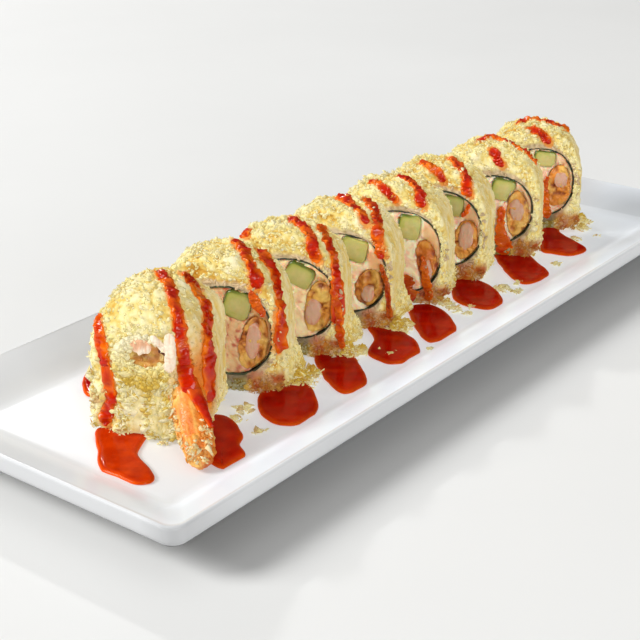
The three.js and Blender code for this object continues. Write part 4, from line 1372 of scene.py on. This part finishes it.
# %% The batter of the tail
TAIL_ORANGE = colour(236, 140, 34)
TAIL_PALE = colour(246, 194, 104)
TAIL_DARK = colour(208, 92, 18)
run = np.linspace(0, 1, TAIL_ROWS)[:, None]
crags = np.abs(lumps(tube, 2.6, 41)) * 1.2 + np.abs(lumps(tube, 1.2, 42)) * 0.7 - 0.5
crags = crags * np.clip(run * 2 - 0.5, 0.35, 1)
ways = np.broadcast_arrays(4 * run, 8 * np.cos(around), 8 * np.sin(around))
stripes = lumps(np.stack(ways, -1), 1.3, 45)
crags = crags + 0.4 * stripes * np.clip(run * 3 - 1.2, 0, 1)
tail_skin = tube + outward * (crags * np.clip(half[:, 1:] / 3, 0.2, 1))[..., None]
tail_skin[..., 2] = np.maximum(tail_skin[..., 2], WELL + CRUMB_FLOOR)
# The hollows of the crags are painted darker, as painted shade.
tint = mix(TAIL_DARK, TAIL_ORANGE, 0.85 + 0.8 * crags + 0.3 * stripes)
# One side of the tail is painted paler, as painted light.
lit = np.clip(np.cos(around - 0.7), 0, 1)
pale = 0.45 * lit + 0.7 * lumps(tube, 3.4, 43) + 0.9 * stripes * np.clip(run * 2, 0.3, 1)
tint = mix(tint, TAIL_PALE, pale)
# Near the tip, the side away from that light is painted darker, as painted shade.
tint = mix(tint, TAIL_DARK, np.clip(run * 6 - 5, 0, 0.8) * np.clip(0.3 - np.cos(around), 0, 1))
make_piece("shrimp_tail_batter", tail_skin.reshape(-1, 3), tube_faces(TAIL_ROWS, TAIL_SIDES),
           batter_finish, ["shrimp_tail"], tint.reshape(-1, 3))
print("tail faces:", TAIL_ROWS * TAIL_SIDES)

# %% [markdown]
# Stiff pale flakes of crumb are stuck to the tail in four clusters. Each cluster is a row and a
# column of the tail's own grid, each with a spread, and a number of flakes. They are drawn from
# a bell curve, so a cluster is thick in its middle and thins out.

# %% Flakes on the tail
draw = np.random.default_rng(44)
clusters = [(76, 5, 13, 3, 90), (63, 8, 30, 2.5, 45), (36, 14, 3, 3, 60), (78, 6, 26, 5, 25)]
row = np.concatenate([draw.normal(at, spread, count) for at, spread, _, _, count in clusters])
column = np.concatenate([draw.normal(at, spread, count) for _, _, at, spread, count in clusters])
row, column = np.clip(row, 8, 86).astype(int), column.astype(int) % TAIL_SIDES
up = outward[row, column]
middles = tail_skin[row, column] + up * draw.uniform(-0.1, 0.3, (len(row), 1))
sizes = flake_sizes(draw, len(row), 0.85)
corners, faces = crowd(draw, middles, sizes, lying_turns(draw, up, 0.35))
corners[..., 2] = np.maximum(corners[..., 2], WELL + CRUMB_FLOOR)
tint = mix(TAIL_PALE, CREAM, draw.random(len(row)))
tint = mix(tint, TAIL_ORANGE, (draw.random(len(row)) < 0.4) * 0.8)
make_piece("shrimp_tail_flakes", corners.reshape(-1, 3), faces.tolist(), crisp,
           ["shrimp_tail"], np.repeat(tint, len(FLAKE), 0))
print("flakes on the tail:", len(middles))

# %% [markdown]
# The middle line of sauce runs off the first piece onto the root of the tail and wraps its near
# half. It follows the tail's own oval, a little above the batter. Its middle turns round the
# tail and its reach to each side gets narrower on the way down, both between a few stops.

# %% Sauce that wraps the tail
WRAP_SIDES = 30
wrap_rows = np.arange(2, 54)
wrap_stops = [2, 15, 30, 45, 53]
centre = np.radians(np.interp(wrap_rows, wrap_stops, [78, 92, 114, 127, 134]))[:, None]
reach = np.interp(wrap_rows, wrap_stops, [0.42, 0.48, 0.42, 0.27, 0.1])[:, None]
turn = np.linspace(0, 2 * np.pi, WRAP_SIDES, endpoint=False)
ways = np.broadcast_arrays(wrap_rows[:, None] * 0.5, 5 * np.cos(turn), 5 * np.sin(turn))
bearing = centre + reach * np.cos(turn) * (1 + 0.2 * lumps(np.stack(ways, -1), 3, 91))
wrap_across, wrap_over = across[wrap_rows, None], over[wrap_rows, None]
up = wrap_across * np.cos(bearing)[..., None] + wrap_over * np.sin(bearing)[..., None]
base = middle[wrap_rows, None] + wrap_across * (half[wrap_rows, :1] * np.cos(bearing))[..., None]
base = base + wrap_over * (half[wrap_rows, 1:] * np.sin(bearing))[..., None]
top = np.clip(np.sin(turn), 0, 1)
stand = np.where(top > 0, 1.5 * top**0.6, 0.2) + 0.5 * np.abs(lumps(base, 1.6, 92)) * top
wrap = base + up * stand[..., None]
wrap_tint = mix(ORANGE, RED, top + 0.5 * lumps(base, 3, 93))
print("the wrap has", wrap.shape[0], "rows of", wrap.shape[1], "points")

# %% [markdown]
# A short thick ribbon joins the wrap to the end of the line above, where the sauce hangs free
# between the piece and its tail. Both become one object.

# %% Sauce on the tail
DROP_POINTS = 50
DROP_WIDTH = 5
DROP_THICKNESS = 0.9
drop_stops = [(-125.4, -19.6, 38.6), (-126.4, -21, 36), (-126.9, -21.9, 33.6), (-127.4, -23, 31.4),
              (-128.2, -24.6, 28.6)]
drop_up = unit(np.tile([-0.75, -0.5, 0.3], (DROP_POINTS, 1)))
drop, drop_tint = ribbon(smooth_curve(drop_stops, DROP_POINTS), drop_up, DROP_WIDTH,
                         DROP_THICKNESS, 47, ragged=0.5)
points, faces, tint = merge([(wrap, tube_faces(*wrap.shape[:2]), wrap_tint),
                             (drop, tube_faces(*drop.shape[:2]), drop_tint)])
make_piece("shrimp_tail_sauce", points, faces, sauce_finish, ["shrimp_tail"], tint)
print("sauce on the tail has", len(faces), "faces")

# %% [markdown]
# The domed end of the first piece is torn open round the shrimp. A golden plug with a rough
# face fills the hole: brown and gold below, white and yellow above, and darkened with a painted
# shadow where a flap of flesh overhangs it.

# %% Torn flesh in the mouth
FLESH_WHITE = colour(240, 224, 200)
FLESH_PINK = colour(222, 170, 132)
FLESH_GOLD = colour(226, 182, 92)
FLESH_BROWN = colour(200, 132, 60)
TORN_POINTS = 120


def torn_flesh(seed):
    theta = np.linspace(0, 2 * np.pi, TORN_POINTS, endpoint=False)
    edge = oval_edge(MOUTH, theta, 0.5)

    def relief(side, z, share):
        spot = np.stack([side, z, 0 * side], -1)
        torn = 1.2 * np.abs(lumps(spot, 2.8, seed)) + 0.7 * np.abs(lumps(spot, 1.2, seed + 1))
        return torn - 0.5 * share**6

    grid, share = plug(edge, np.array(MOUTH[:2]), -0.6, 9.0, relief, rings=26)
    y, z = grid[..., 1], grid[..., 2]
    tint = mix(FLESH_BROWN, FLESH_GOLD, 0.4 + 1.4 * lumps(grid, 2.2, seed + 2))
    # Painted shadow under the overhanging flap.
    painted_flap_shadow = np.exp(-(((z - 29.6) / 1.4) ** 2) - ((y + 0.5) / 5) ** 2)
    tint = tint * (1 - 0.4 * painted_flap_shadow[..., None])
    high = (z - 31) / 4 + lumps(grid, 2.6, seed + 4)
    tint = mix(tint, mix(YELLOW, FLESH_WHITE, lumps(grid, 2, seed + 5) + 0.4), high)
    return grid, mix(tint, YELLOW, (share[:, None] - 0.75) * 3 + 0.6 * lumps(grid, 2, seed + 6))


grid, tint = torn_flesh(61)
plug_piece("roll_1_torn_flesh", rolls[0], grid, batter_finish, "roll_1_crab", tint)
print("mouth is", 2 * MOUTH[2], "by", 2 * MOUTH[3], "mm")

# %% [markdown]
# Four strands of flesh lie over the plug. Two white ones run down its near side, one of them
# over the rim. The third is a broad flap of white and pink flesh, and the last is a thin dark
# strip of painted shadow, where a slit in the flesh lies in shade. All are ribbons along a few
# stops, to the near side and above the plate, and each stands a little further in than the one
# before.

# %% Strands of flesh
SLIT_SHADOW_COLOUR = colour(84, 38, 14)
STRAND_POINTS = 44
STRAND_SIDES = 20
FLAP = 2
SLIT_SHADOW = 3
strands = [
    (3.6, [(9.2, 38.6), (9.3, 35), (9.2, 31), (8.8, 27.6), (8.3, 25)]),
    (2.4, [(3, 37.2), (4.4, 35.8), (6, 34.2), (7.8, 32)]),
    (5.6, [(-4.4, 33.8), (-2.2, 33.6), (0.2, 33.2), (3, 32.8)]),
    (0.8, [(5.2, 32.4), (6.3, 31.7), (7.3, 31), (8.2, 30.4)]),
]


def out_of_face(count):
    return np.tile([-1.0, 0, 0], (count, 1))


parts = []
for order, (width, stops) in enumerate(strands):
    flat = smooth_curve(stops, STRAND_POINTS)
    path = np.stack([np.full(STRAND_POINTS, -2.5 + 0.2 * order), -flat[:, 0], flat[:, 1]], -1)
    points, _ = ribbon(path, out_of_face(STRAND_POINTS), width, 0.6, 640 + order,
                       around=STRAND_SIDES, ragged=0.6)
    fibre = lumps(points * [1, 3, 0.7], 1.2, 650 + order)
    shade = mix(FLESH_PINK, FLESH_WHITE, 1.0 + 0.9 * fibre)
    if order == FLAP:
        pink = (points[..., 2] - 31.4) / 2 + points[..., 1] / 8 + fibre
        shade = mix(FLESH_WHITE, FLESH_PINK, pink)
    # The last strand is a dark strip of painted shadow in a slit.
    if order == SLIT_SHADOW:
        shade = np.broadcast_to(SLIT_SHADOW_COLOUR, shade.shape)
    parts.append((on_plate(rolls[0], points), tube_faces(STRAND_POINTS, STRAND_SIDES), shade))
points, faces, tint = merge(parts)
make_piece("roll_1_flesh_strands", points, faces, rice_finish, ["roll_1_crab"], tint)
print("strands of flesh:", len(strands))

# %% [markdown]
# Crumbs cling round the rim of the torn mouth and lie over its lower half. Flakes are thrown
# over the whole oval and a little beyond it, and those that fall in its open upper part are
# taken out again, with a ragged limit.

# %% Crumbs round the mouth
RIM_FLAKES = 1500
OPEN_MIDDLE = np.array([1.8, 30.6])
OPEN_REACH = np.array([7.8, 5.4])


def rim_places(draw, count):
    middle = np.array(MOUTH[:2])
    reach = np.sqrt(draw.uniform(0.05, 1.25, (count, 1)))
    flat = middle + (oval_edge(MOUTH, draw.uniform(0, 2 * np.pi, count)) - middle) * reach
    apart = np.linalg.norm((flat - OPEN_MIDDLE) / OPEN_REACH, axis=-1)
    in_opening = (apart < draw.uniform(0.75, 1.05, count)) & (reach[:, 0] < 1.02)
    flat = flat[~in_opening]
    return np.stack([-1.5 - draw.random(len(flat)), -flat[:, 0], flat[:, 1]], -1)


draw = np.random.default_rng(97)
rim = rim_places(draw, RIM_FLAKES)
sizes = flake_sizes(draw, len(rim), 0.8)
corners, faces = crowd(draw, rim, sizes, lying_turns(draw, out_of_face(len(rim)), 0.5))
tint = mix(GOLDEN_CRUMB, YELLOW, draw.random(len(rim)) * 0.9 + (rim[:, 2] - 24) / 8)
tint = mix(tint, CREAM, (rim[:, 2] - 24) / 12 + draw.random(len(rim)) * 0.5 - 0.2)
clumps = [(on_plate(rolls[0], corners), faces.tolist(), np.repeat(tint, len(FLAKE), 0))]
print("flakes round the mouth:", len(rim))

# %% [markdown]
# At the foot of the first piece and of every cut face crumbs stand in curly clumps. A clump is
# a few flakes that lean away from one spot on the coat, like petals. The spots are drawn from
# the front rows of the coat, inside a box: to the near side from and to, and above the plate
# from and to. The first piece has many more of them than the others.

# %% Clumps of crumbs at the feet
CLUMP_DRAWS = 6000
CLUMP_ROWS = 26
first_clumps = {"box": (-19, 11, 1.0, 21), "spots": 84, "each": 11, "usual": 1.25, "golden": 0.3}
foot_clumps = {"box": (11, 26, 0.8, 7), "spots": 16, "each": 14, "usual": 0.8, "golden": 0.7}


def clumps_on(piece, lines, coat, draw, kind):
    row = draw.integers(0, CLUMP_ROWS, CLUMP_DRAWS)
    column = draw.integers(0, coat.shape[1], CLUMP_DRAWS)
    place = coat[row, column]
    side, z = -place[:, 1], place[:, 2]
    nearest, farthest, low, high = kind["box"]
    place = place[(side > nearest) & (side < farthest) & (z > low) & (z < high)]
    place = place[: 2 * kind["spots"]]
    place = place[sauce_gap(piece, lines, place) > 1.6][: kind["spots"]]
    away = unit(place - np.array([9.0, 0, piece["height"] / 2]))
    lean = unit(away[:, None] + draw.normal(0, 0.6, (len(place), kind["each"], 3)))
    middles = place[:, None] + lean * draw.uniform(0.2, 1.9, (len(place), kind["each"], 1))
    return middles.reshape(-1, 3), lean.reshape(-1, 3)


for index, piece in enumerate(rolls):
    kind = first_clumps if index == 0 else foot_clumps
    middles, lean = clumps_on(piece, sauce_lines[index], coats[index], draw, kind)
    sizes = flake_sizes(draw, len(middles), kind["usual"]) * np.array([1, 0.85, 0.6])
    corners, faces = crowd(draw, middles, sizes, lying_turns(draw, lean, 0.5))
    corners[..., 2] = np.maximum(corners[..., 2], CRUMB_FLOOR)
    tint = mix(YELLOW, CREAM, draw.random(len(middles)) * 1.4)
    tint = mix(tint, GOLDEN_CRUMB, (draw.random(len(middles)) < kind["golden"]) * 0.9)
    tint = mix(tint, ROAST_AND_CREASE_SHADE, (draw.random(len(middles)) < 0.08) * 0.7)
    if index > 0:
        tint = mix(tint, SOAKED, soaked_foot(middles) * 0.95)
    clumps.append((on_plate(piece, corners), faces.tolist(), np.repeat(tint, len(FLAKE), 0)))
points, faces, tint = merge(clumps)
make_piece("clumps_of_crumbs", points, faces, crisp,
           [f"roll_{number}_rice_and_crumbs" for number in range(1, 9)], tint)
print("flakes in the clumps:", len(points) // len(FLAKE))

# %% [markdown]
# Some sauce also ran over the cut faces, thin and uneven. Each drip is a ribbon that hangs a
# little in front of the filling. The table gives the piece, counted from 0, how bright the drip
# is, its width at the top, middle and foot, and its stops, to the near side and above the plate.

# %% Thin sauce on the cut faces
DRIED = colour(208, 92, 20)
DRIP_POINTS = 60
DRIP_FRONT = -0.9
DRIP_THICKNESS = 0.16
drips = [
    (1, 1.0, [2.2, 2.8, 2], [(13, 38.6), (13.8, 35.4), (15.8, 32), (17.6, 29.4)]),
    (2, 1.0, [2, 2.6, 2.2], [(20.2, 27), (21.4, 22), (22.4, 16), (22.8, 10), (23.4, 5)]),
    (3, 0.72, [1.2, 1.7, 1.8], [(18.3, 27.5), (20.6, 21), (21.6, 14), (22.4, 6)]),
    (4, 0.8, [1.6, 2.6, 3.4], [(13.4, 21), (13.8, 18), (14.6, 13), (15.8, 8.5), (16.4, 2)]),
    (4, 0.7, [3, 4.6, 5.4], [(7.2, 12.5), (8, 7.2), (9.4, 1)]),
    (5, 1.0, [1.4, 1.8, 1.4], [(15.6, 34.5), (14.6, 31), (13, 28.6)]),
    (6, 1.0, [2.4, 3.4, 6.5], [(6.1, 23.4), (5.8, 18.2), (5.6, 13), (7, 8.6), (9, 1.6)]),
    (7, 0.85, [2, 2.6, 3.4], [(6.2, 26), (5.6, 19.8), (6, 13), (7.2, 6)]),
]
for order, (index, shade, widths, stops) in enumerate(drips):
    piece = rolls[index]
    flat = smooth_curve(stops, DRIP_POINTS)
    path = np.stack([np.full(DRIP_POINTS, DRIP_FRONT), -flat[:, 0], flat[:, 1]], -1)
    width = np.interp(np.linspace(0, 1, DRIP_POINTS), [0, 0.5, 1], widths) * 1.1
    points, tint = ribbon(path, out_of_face(DRIP_POINTS), width, DRIP_THICKNESS, 660 + 9 * order,
                          ragged=1.3)
    points[..., 2] = np.maximum(points[..., 2], CRUMB_FLOOR)
    tint = shade * mix(tint, DRIED, 0.4 + 0.8 * lumps(points, 3, 670 + order))
    make_piece(f"roll_{index + 1}_drip_{order + 1}", on_plate(piece, points).reshape(-1, 3),
               tube_faces(*points.shape[:2]), sauce_finish, [f"roll_{index + 1}_crab"],
               tint.reshape(-1, 3))
print("drips on the cut faces:", len(drips))

# %% [markdown]
# Between the seaweed and the crumbs each cut face shows a ring of cooked rice. The coat already
# carries its soft relief, so only loose grains are laid on it, each a small smooth spindle.
# They keep off the top of the face, where the crumbs are thick, and off the plate.

# %% Grains of rice on the cut faces
def spindle(around=6):
    stations = [(-1, 0.02), (-0.6, 0.75), (0, 1), (0.6, 0.75), (1, 0.02)]
    turn = np.arange(around) / around * 2 * np.pi
    rings = [np.stack([np.full(around, x), r * np.cos(turn), r * np.sin(turn)], -1)
             for x, r in stations]
    return np.concatenate(rings), grid_faces(len(stations), around)


GRAIN, GRAIN_FACES = spindle()
GRAINS_DRAWN = 90
parts = []
for index, piece in enumerate(rolls[1:], 1):
    draw = np.random.default_rng(80 + index)
    flat = oval_edge(piece["seaweed"], draw.uniform(0, 2 * np.pi, GRAINS_DRAWN))
    out = unit(flat - np.array(piece["seaweed"][:2]))
    flat = flat + out * draw.uniform(1.0, 2.8, (GRAINS_DRAWN, 1))
    keep = (flat[:, 1] > 1.2) & (flat[:, 1] < piece["height"] - 8)
    middles = np.stack([draw.uniform(0, 0.35, GRAINS_DRAWN), -flat[:, 0], flat[:, 1]], -1)[keep]
    sizes = np.array([1.25, 0.55, 0.5]) * draw.uniform(0.8, 1.15, (len(middles), 1))
    turns = lying_turns(draw, out_of_face(len(middles)), 0.1)
    corners, faces = crowd(draw, middles, sizes, turns, GRAIN, GRAIN_FACES, 0.06)
    shade = mix(RICE_SHADE, RICE, 0.3 + 0.6 * draw.random(len(middles)))
    # Grains at the foot get the same painted shade and soaked sauce as the coat.
    shade = sauce_stains_and_foot_shade(shade, middles, False)
    parts.append((on_plate(piece, corners), faces.tolist(), np.repeat(shade, len(GRAIN), 0)))
points, faces, tint = merge(parts)
make_piece("rice_grains", points, faces, rice_finish,
           [f"roll_{number}_rice_and_crumbs" for number in range(2, 9)], tint)
print("grains of rice:", len(points) // len(GRAIN))

# %% [markdown]
# Crumbs fell round the rolls: tall heaps at the near feet of some pieces, low ones in the
# sauce, and a few flakes further out. Each heap is a place on the plate with a spread, a height
# and a number of flakes, drawn from a bell curve and piled up in its middle. Flakes high in a
# heap turn golden.

# %% Fallen crumbs
fallen = [
    (-133.5, -16.7, 2, 0.5, 14), (-107.7, -35.8, 2.5, 0.8, 14), (-33.8, -36.1, 3, 1.4, 60),
    (-19.8, -44, 1.2, 0.6, 8), (-34.5, -30.5, 2, 0.6, 12), (17.9, -31.2, 3, 1, 50),
    (17.6, -37.4, 2, 0.8, 20), (24.6, -34.9, 2.5, 1, 30), (46.8, -34.4, 4, 1, 50),
    (58.4, -37, 2.2, 0.8, 20), (49.3, -41.4, 2, 0.8, 20), (85.4, -38.4, 2.2, 0.9, 30),
    (128.9, -35.8, 1, 0.3, 5), (118.3, -30.4, 3, 1, 30), (-98.6, -21.6, 3, 1.4, 40),
    (-106.2, -23.7, 3, 1, 30), (-72, -24, 4.6, 7, 330), (-64.5, -23.5, 3.6, 4, 170),
    (-43.5, -24, 4, 7, 280), (-37, -25.5, 3, 3, 120), (-13.5, -25.5, 3.6, 6, 220),
    (-7, -25.5, 2.6, 3, 90), (20, -26, 2.4, 3, 90), (141, -21.5, 3.4, 4, 190),
    (133, -26, 2.6, 3, 90),
]


def heap_of(draw, heaps):
    middles = []
    for x, y, spread, height, count in heaps:
        offset = draw.normal(0, spread / 2, (count, 2))
        peak = np.exp(-(offset**2).sum(-1) / spread**2 * 2.2) * height
        level = 0.35 + peak * draw.random(count) ** 0.5
        middles.append(np.concatenate([offset + (x, y), WELL + level[:, None]], -1))
    return np.concatenate(middles)


draw = np.random.default_rng(71)
middles = heap_of(draw, fallen)
turns = lying_turns(draw, np.tile([0.0, 0.0, 1.0], (len(middles), 1)), 0.6)
corners, faces = crowd(draw, middles, flake_sizes(draw, len(middles), 0.85), turns)
corners[..., 2] = np.maximum(corners[..., 2], WELL + 0.05)
tint = mix(YELLOW, CREAM, draw.random(len(middles)))
heaped = np.clip((middles[:, 2] - WELL - 0.9) / 1.4, 0, 1) * (draw.random(len(middles)) < 0.75)
tint = mix(tint, GOLDEN_CRUMB, heaped)
tint = np.repeat(mix(tint, ROAST_AND_CREASE_SHADE, (draw.random(len(middles)) < 0.2) * 0.5), len(FLAKE), 0)
make_piece("fallen_crumbs", corners.reshape(-1, 3), faces.tolist(), crisp, (), tint)
print("fallen crumbs:", len(middles))

# %% [markdown]
# The plate stands on a pale floor. A large lamp behind it on the left gives the glaze its shine
# and lets the shadow fall towards the near side. A weaker one fills in from the near side, and
# two small hard ones make the glints on the sauce.

# %% Floor and lamps
def lamp(name, place, size, power):
    light = bpy.data.lights.new(name, "AREA")
    light.size = size
    light.energy = power
    fitting = bpy.data.objects.new(name, light)
    bpy.context.scene.collection.objects.link(fitting)
    fitting.location = place
    x, y, z = place
    fitting.rotation_euler = (math.atan2(math.hypot(x, y), z), 0, math.atan2(-x, y) + math.pi)
    return fitting


floor_mesh = bpy.data.meshes.new("floor")
floor_mesh.from_pydata([(-4, -4, 0), (4, -4, 0), (4, 4, 0), (-4, 4, 0)], [], [(0, 1, 2, 3)])
floor_finish, tree, shader = new_finish("pale_floor", Roughness=0.7)
floor_shades = [(0.3, colour(231, 231, 229)), (0.7, colour(235, 235, 233))]
shades = add_ramp(tree, add_noise(tree, 3).outputs["Fac"], floor_shades)
tree.links.new(shades.outputs["Color"], shader.inputs["Base Color"])
floor_mesh.materials.append(floor_finish)
floor = bpy.data.objects.new("floor", floor_mesh)
bpy.context.scene.collection.objects.link(floor)
key = lamp("key_lamp", (-3.1, 2.7, 2.8), 1.8, 262)
fill = lamp("fill_lamp", (-1.4, -2.6, 0.55), 1.2, 46)
glint = lamp("glint_lamp", (1.2, 1.9, 1.3), 0.08, 13)
sparkle = lamp("sparkle_lamp", (-1.4, -2.2, 2.2), 0.04, 6)

# %% [markdown]
# The sky is dim up to a good height and white above it, like a room with a bright ceiling. It
# fills the shadows without washing out the pools, which mirror its dim part. Colours are shown
# as they are, without a film curve.

# %% Sky
SKY_STRENGTH = 0.4
sky_shades = [(0.0, (0.04, 0.04, 0.04)), (0.42, (0.05, 0.05, 0.05)), (0.75, (1, 1, 1))]
sky = bpy.data.worlds.new("sky")
sky.use_nodes = True
tree = sky.node_tree
place = tree.nodes.new("ShaderNodeTexCoord")
split = tree.nodes.new("ShaderNodeSeparateXYZ")
tree.links.new(place.outputs["Generated"], split.inputs["Vector"])
glow = add_ramp(tree, split.outputs["Z"], sky_shades)
tree.links.new(glow.outputs["Color"], tree.nodes["Background"].inputs["Color"])
tree.nodes["Background"].inputs["Strength"].default_value = SKY_STRENGTH
bpy.context.scene.world = sky
bpy.context.scene.view_settings.view_transform = "Standard"
print("view transform:", bpy.context.scene.view_settings.view_transform)

# %% [markdown]
# The camera stands at the angle of the photograph, low on the near side of the tail end. Its
# place is worked out from its turn, its height angle and its distance to a point on the plate.

# %% Camera
TURN = math.radians(-52.53)
TILT = math.radians(23.32)
DISTANCE = 0.5482
LENS = 79.65
SENSOR_WIDTH = 36
target = np.array([-0.02231, 0.00495, 0.010])
gaze = np.array([-math.sin(TURN) * math.cos(TILT), math.cos(TURN) * math.cos(TILT),
                 -math.sin(TILT)])
camera = bpy.data.objects.new("camera", bpy.data.cameras.new("camera"))
camera.data.lens = LENS
camera.data.sensor_width = SENSOR_WIDTH
camera.location = target - gaze * DISTANCE
camera.rotation_euler = (math.pi / 2 - TILT, 0, TURN)
bpy.context.scene.collection.objects.link(camera)
bpy.context.scene.camera = camera
print("camera at", [round(value, 3) for value in camera.location])
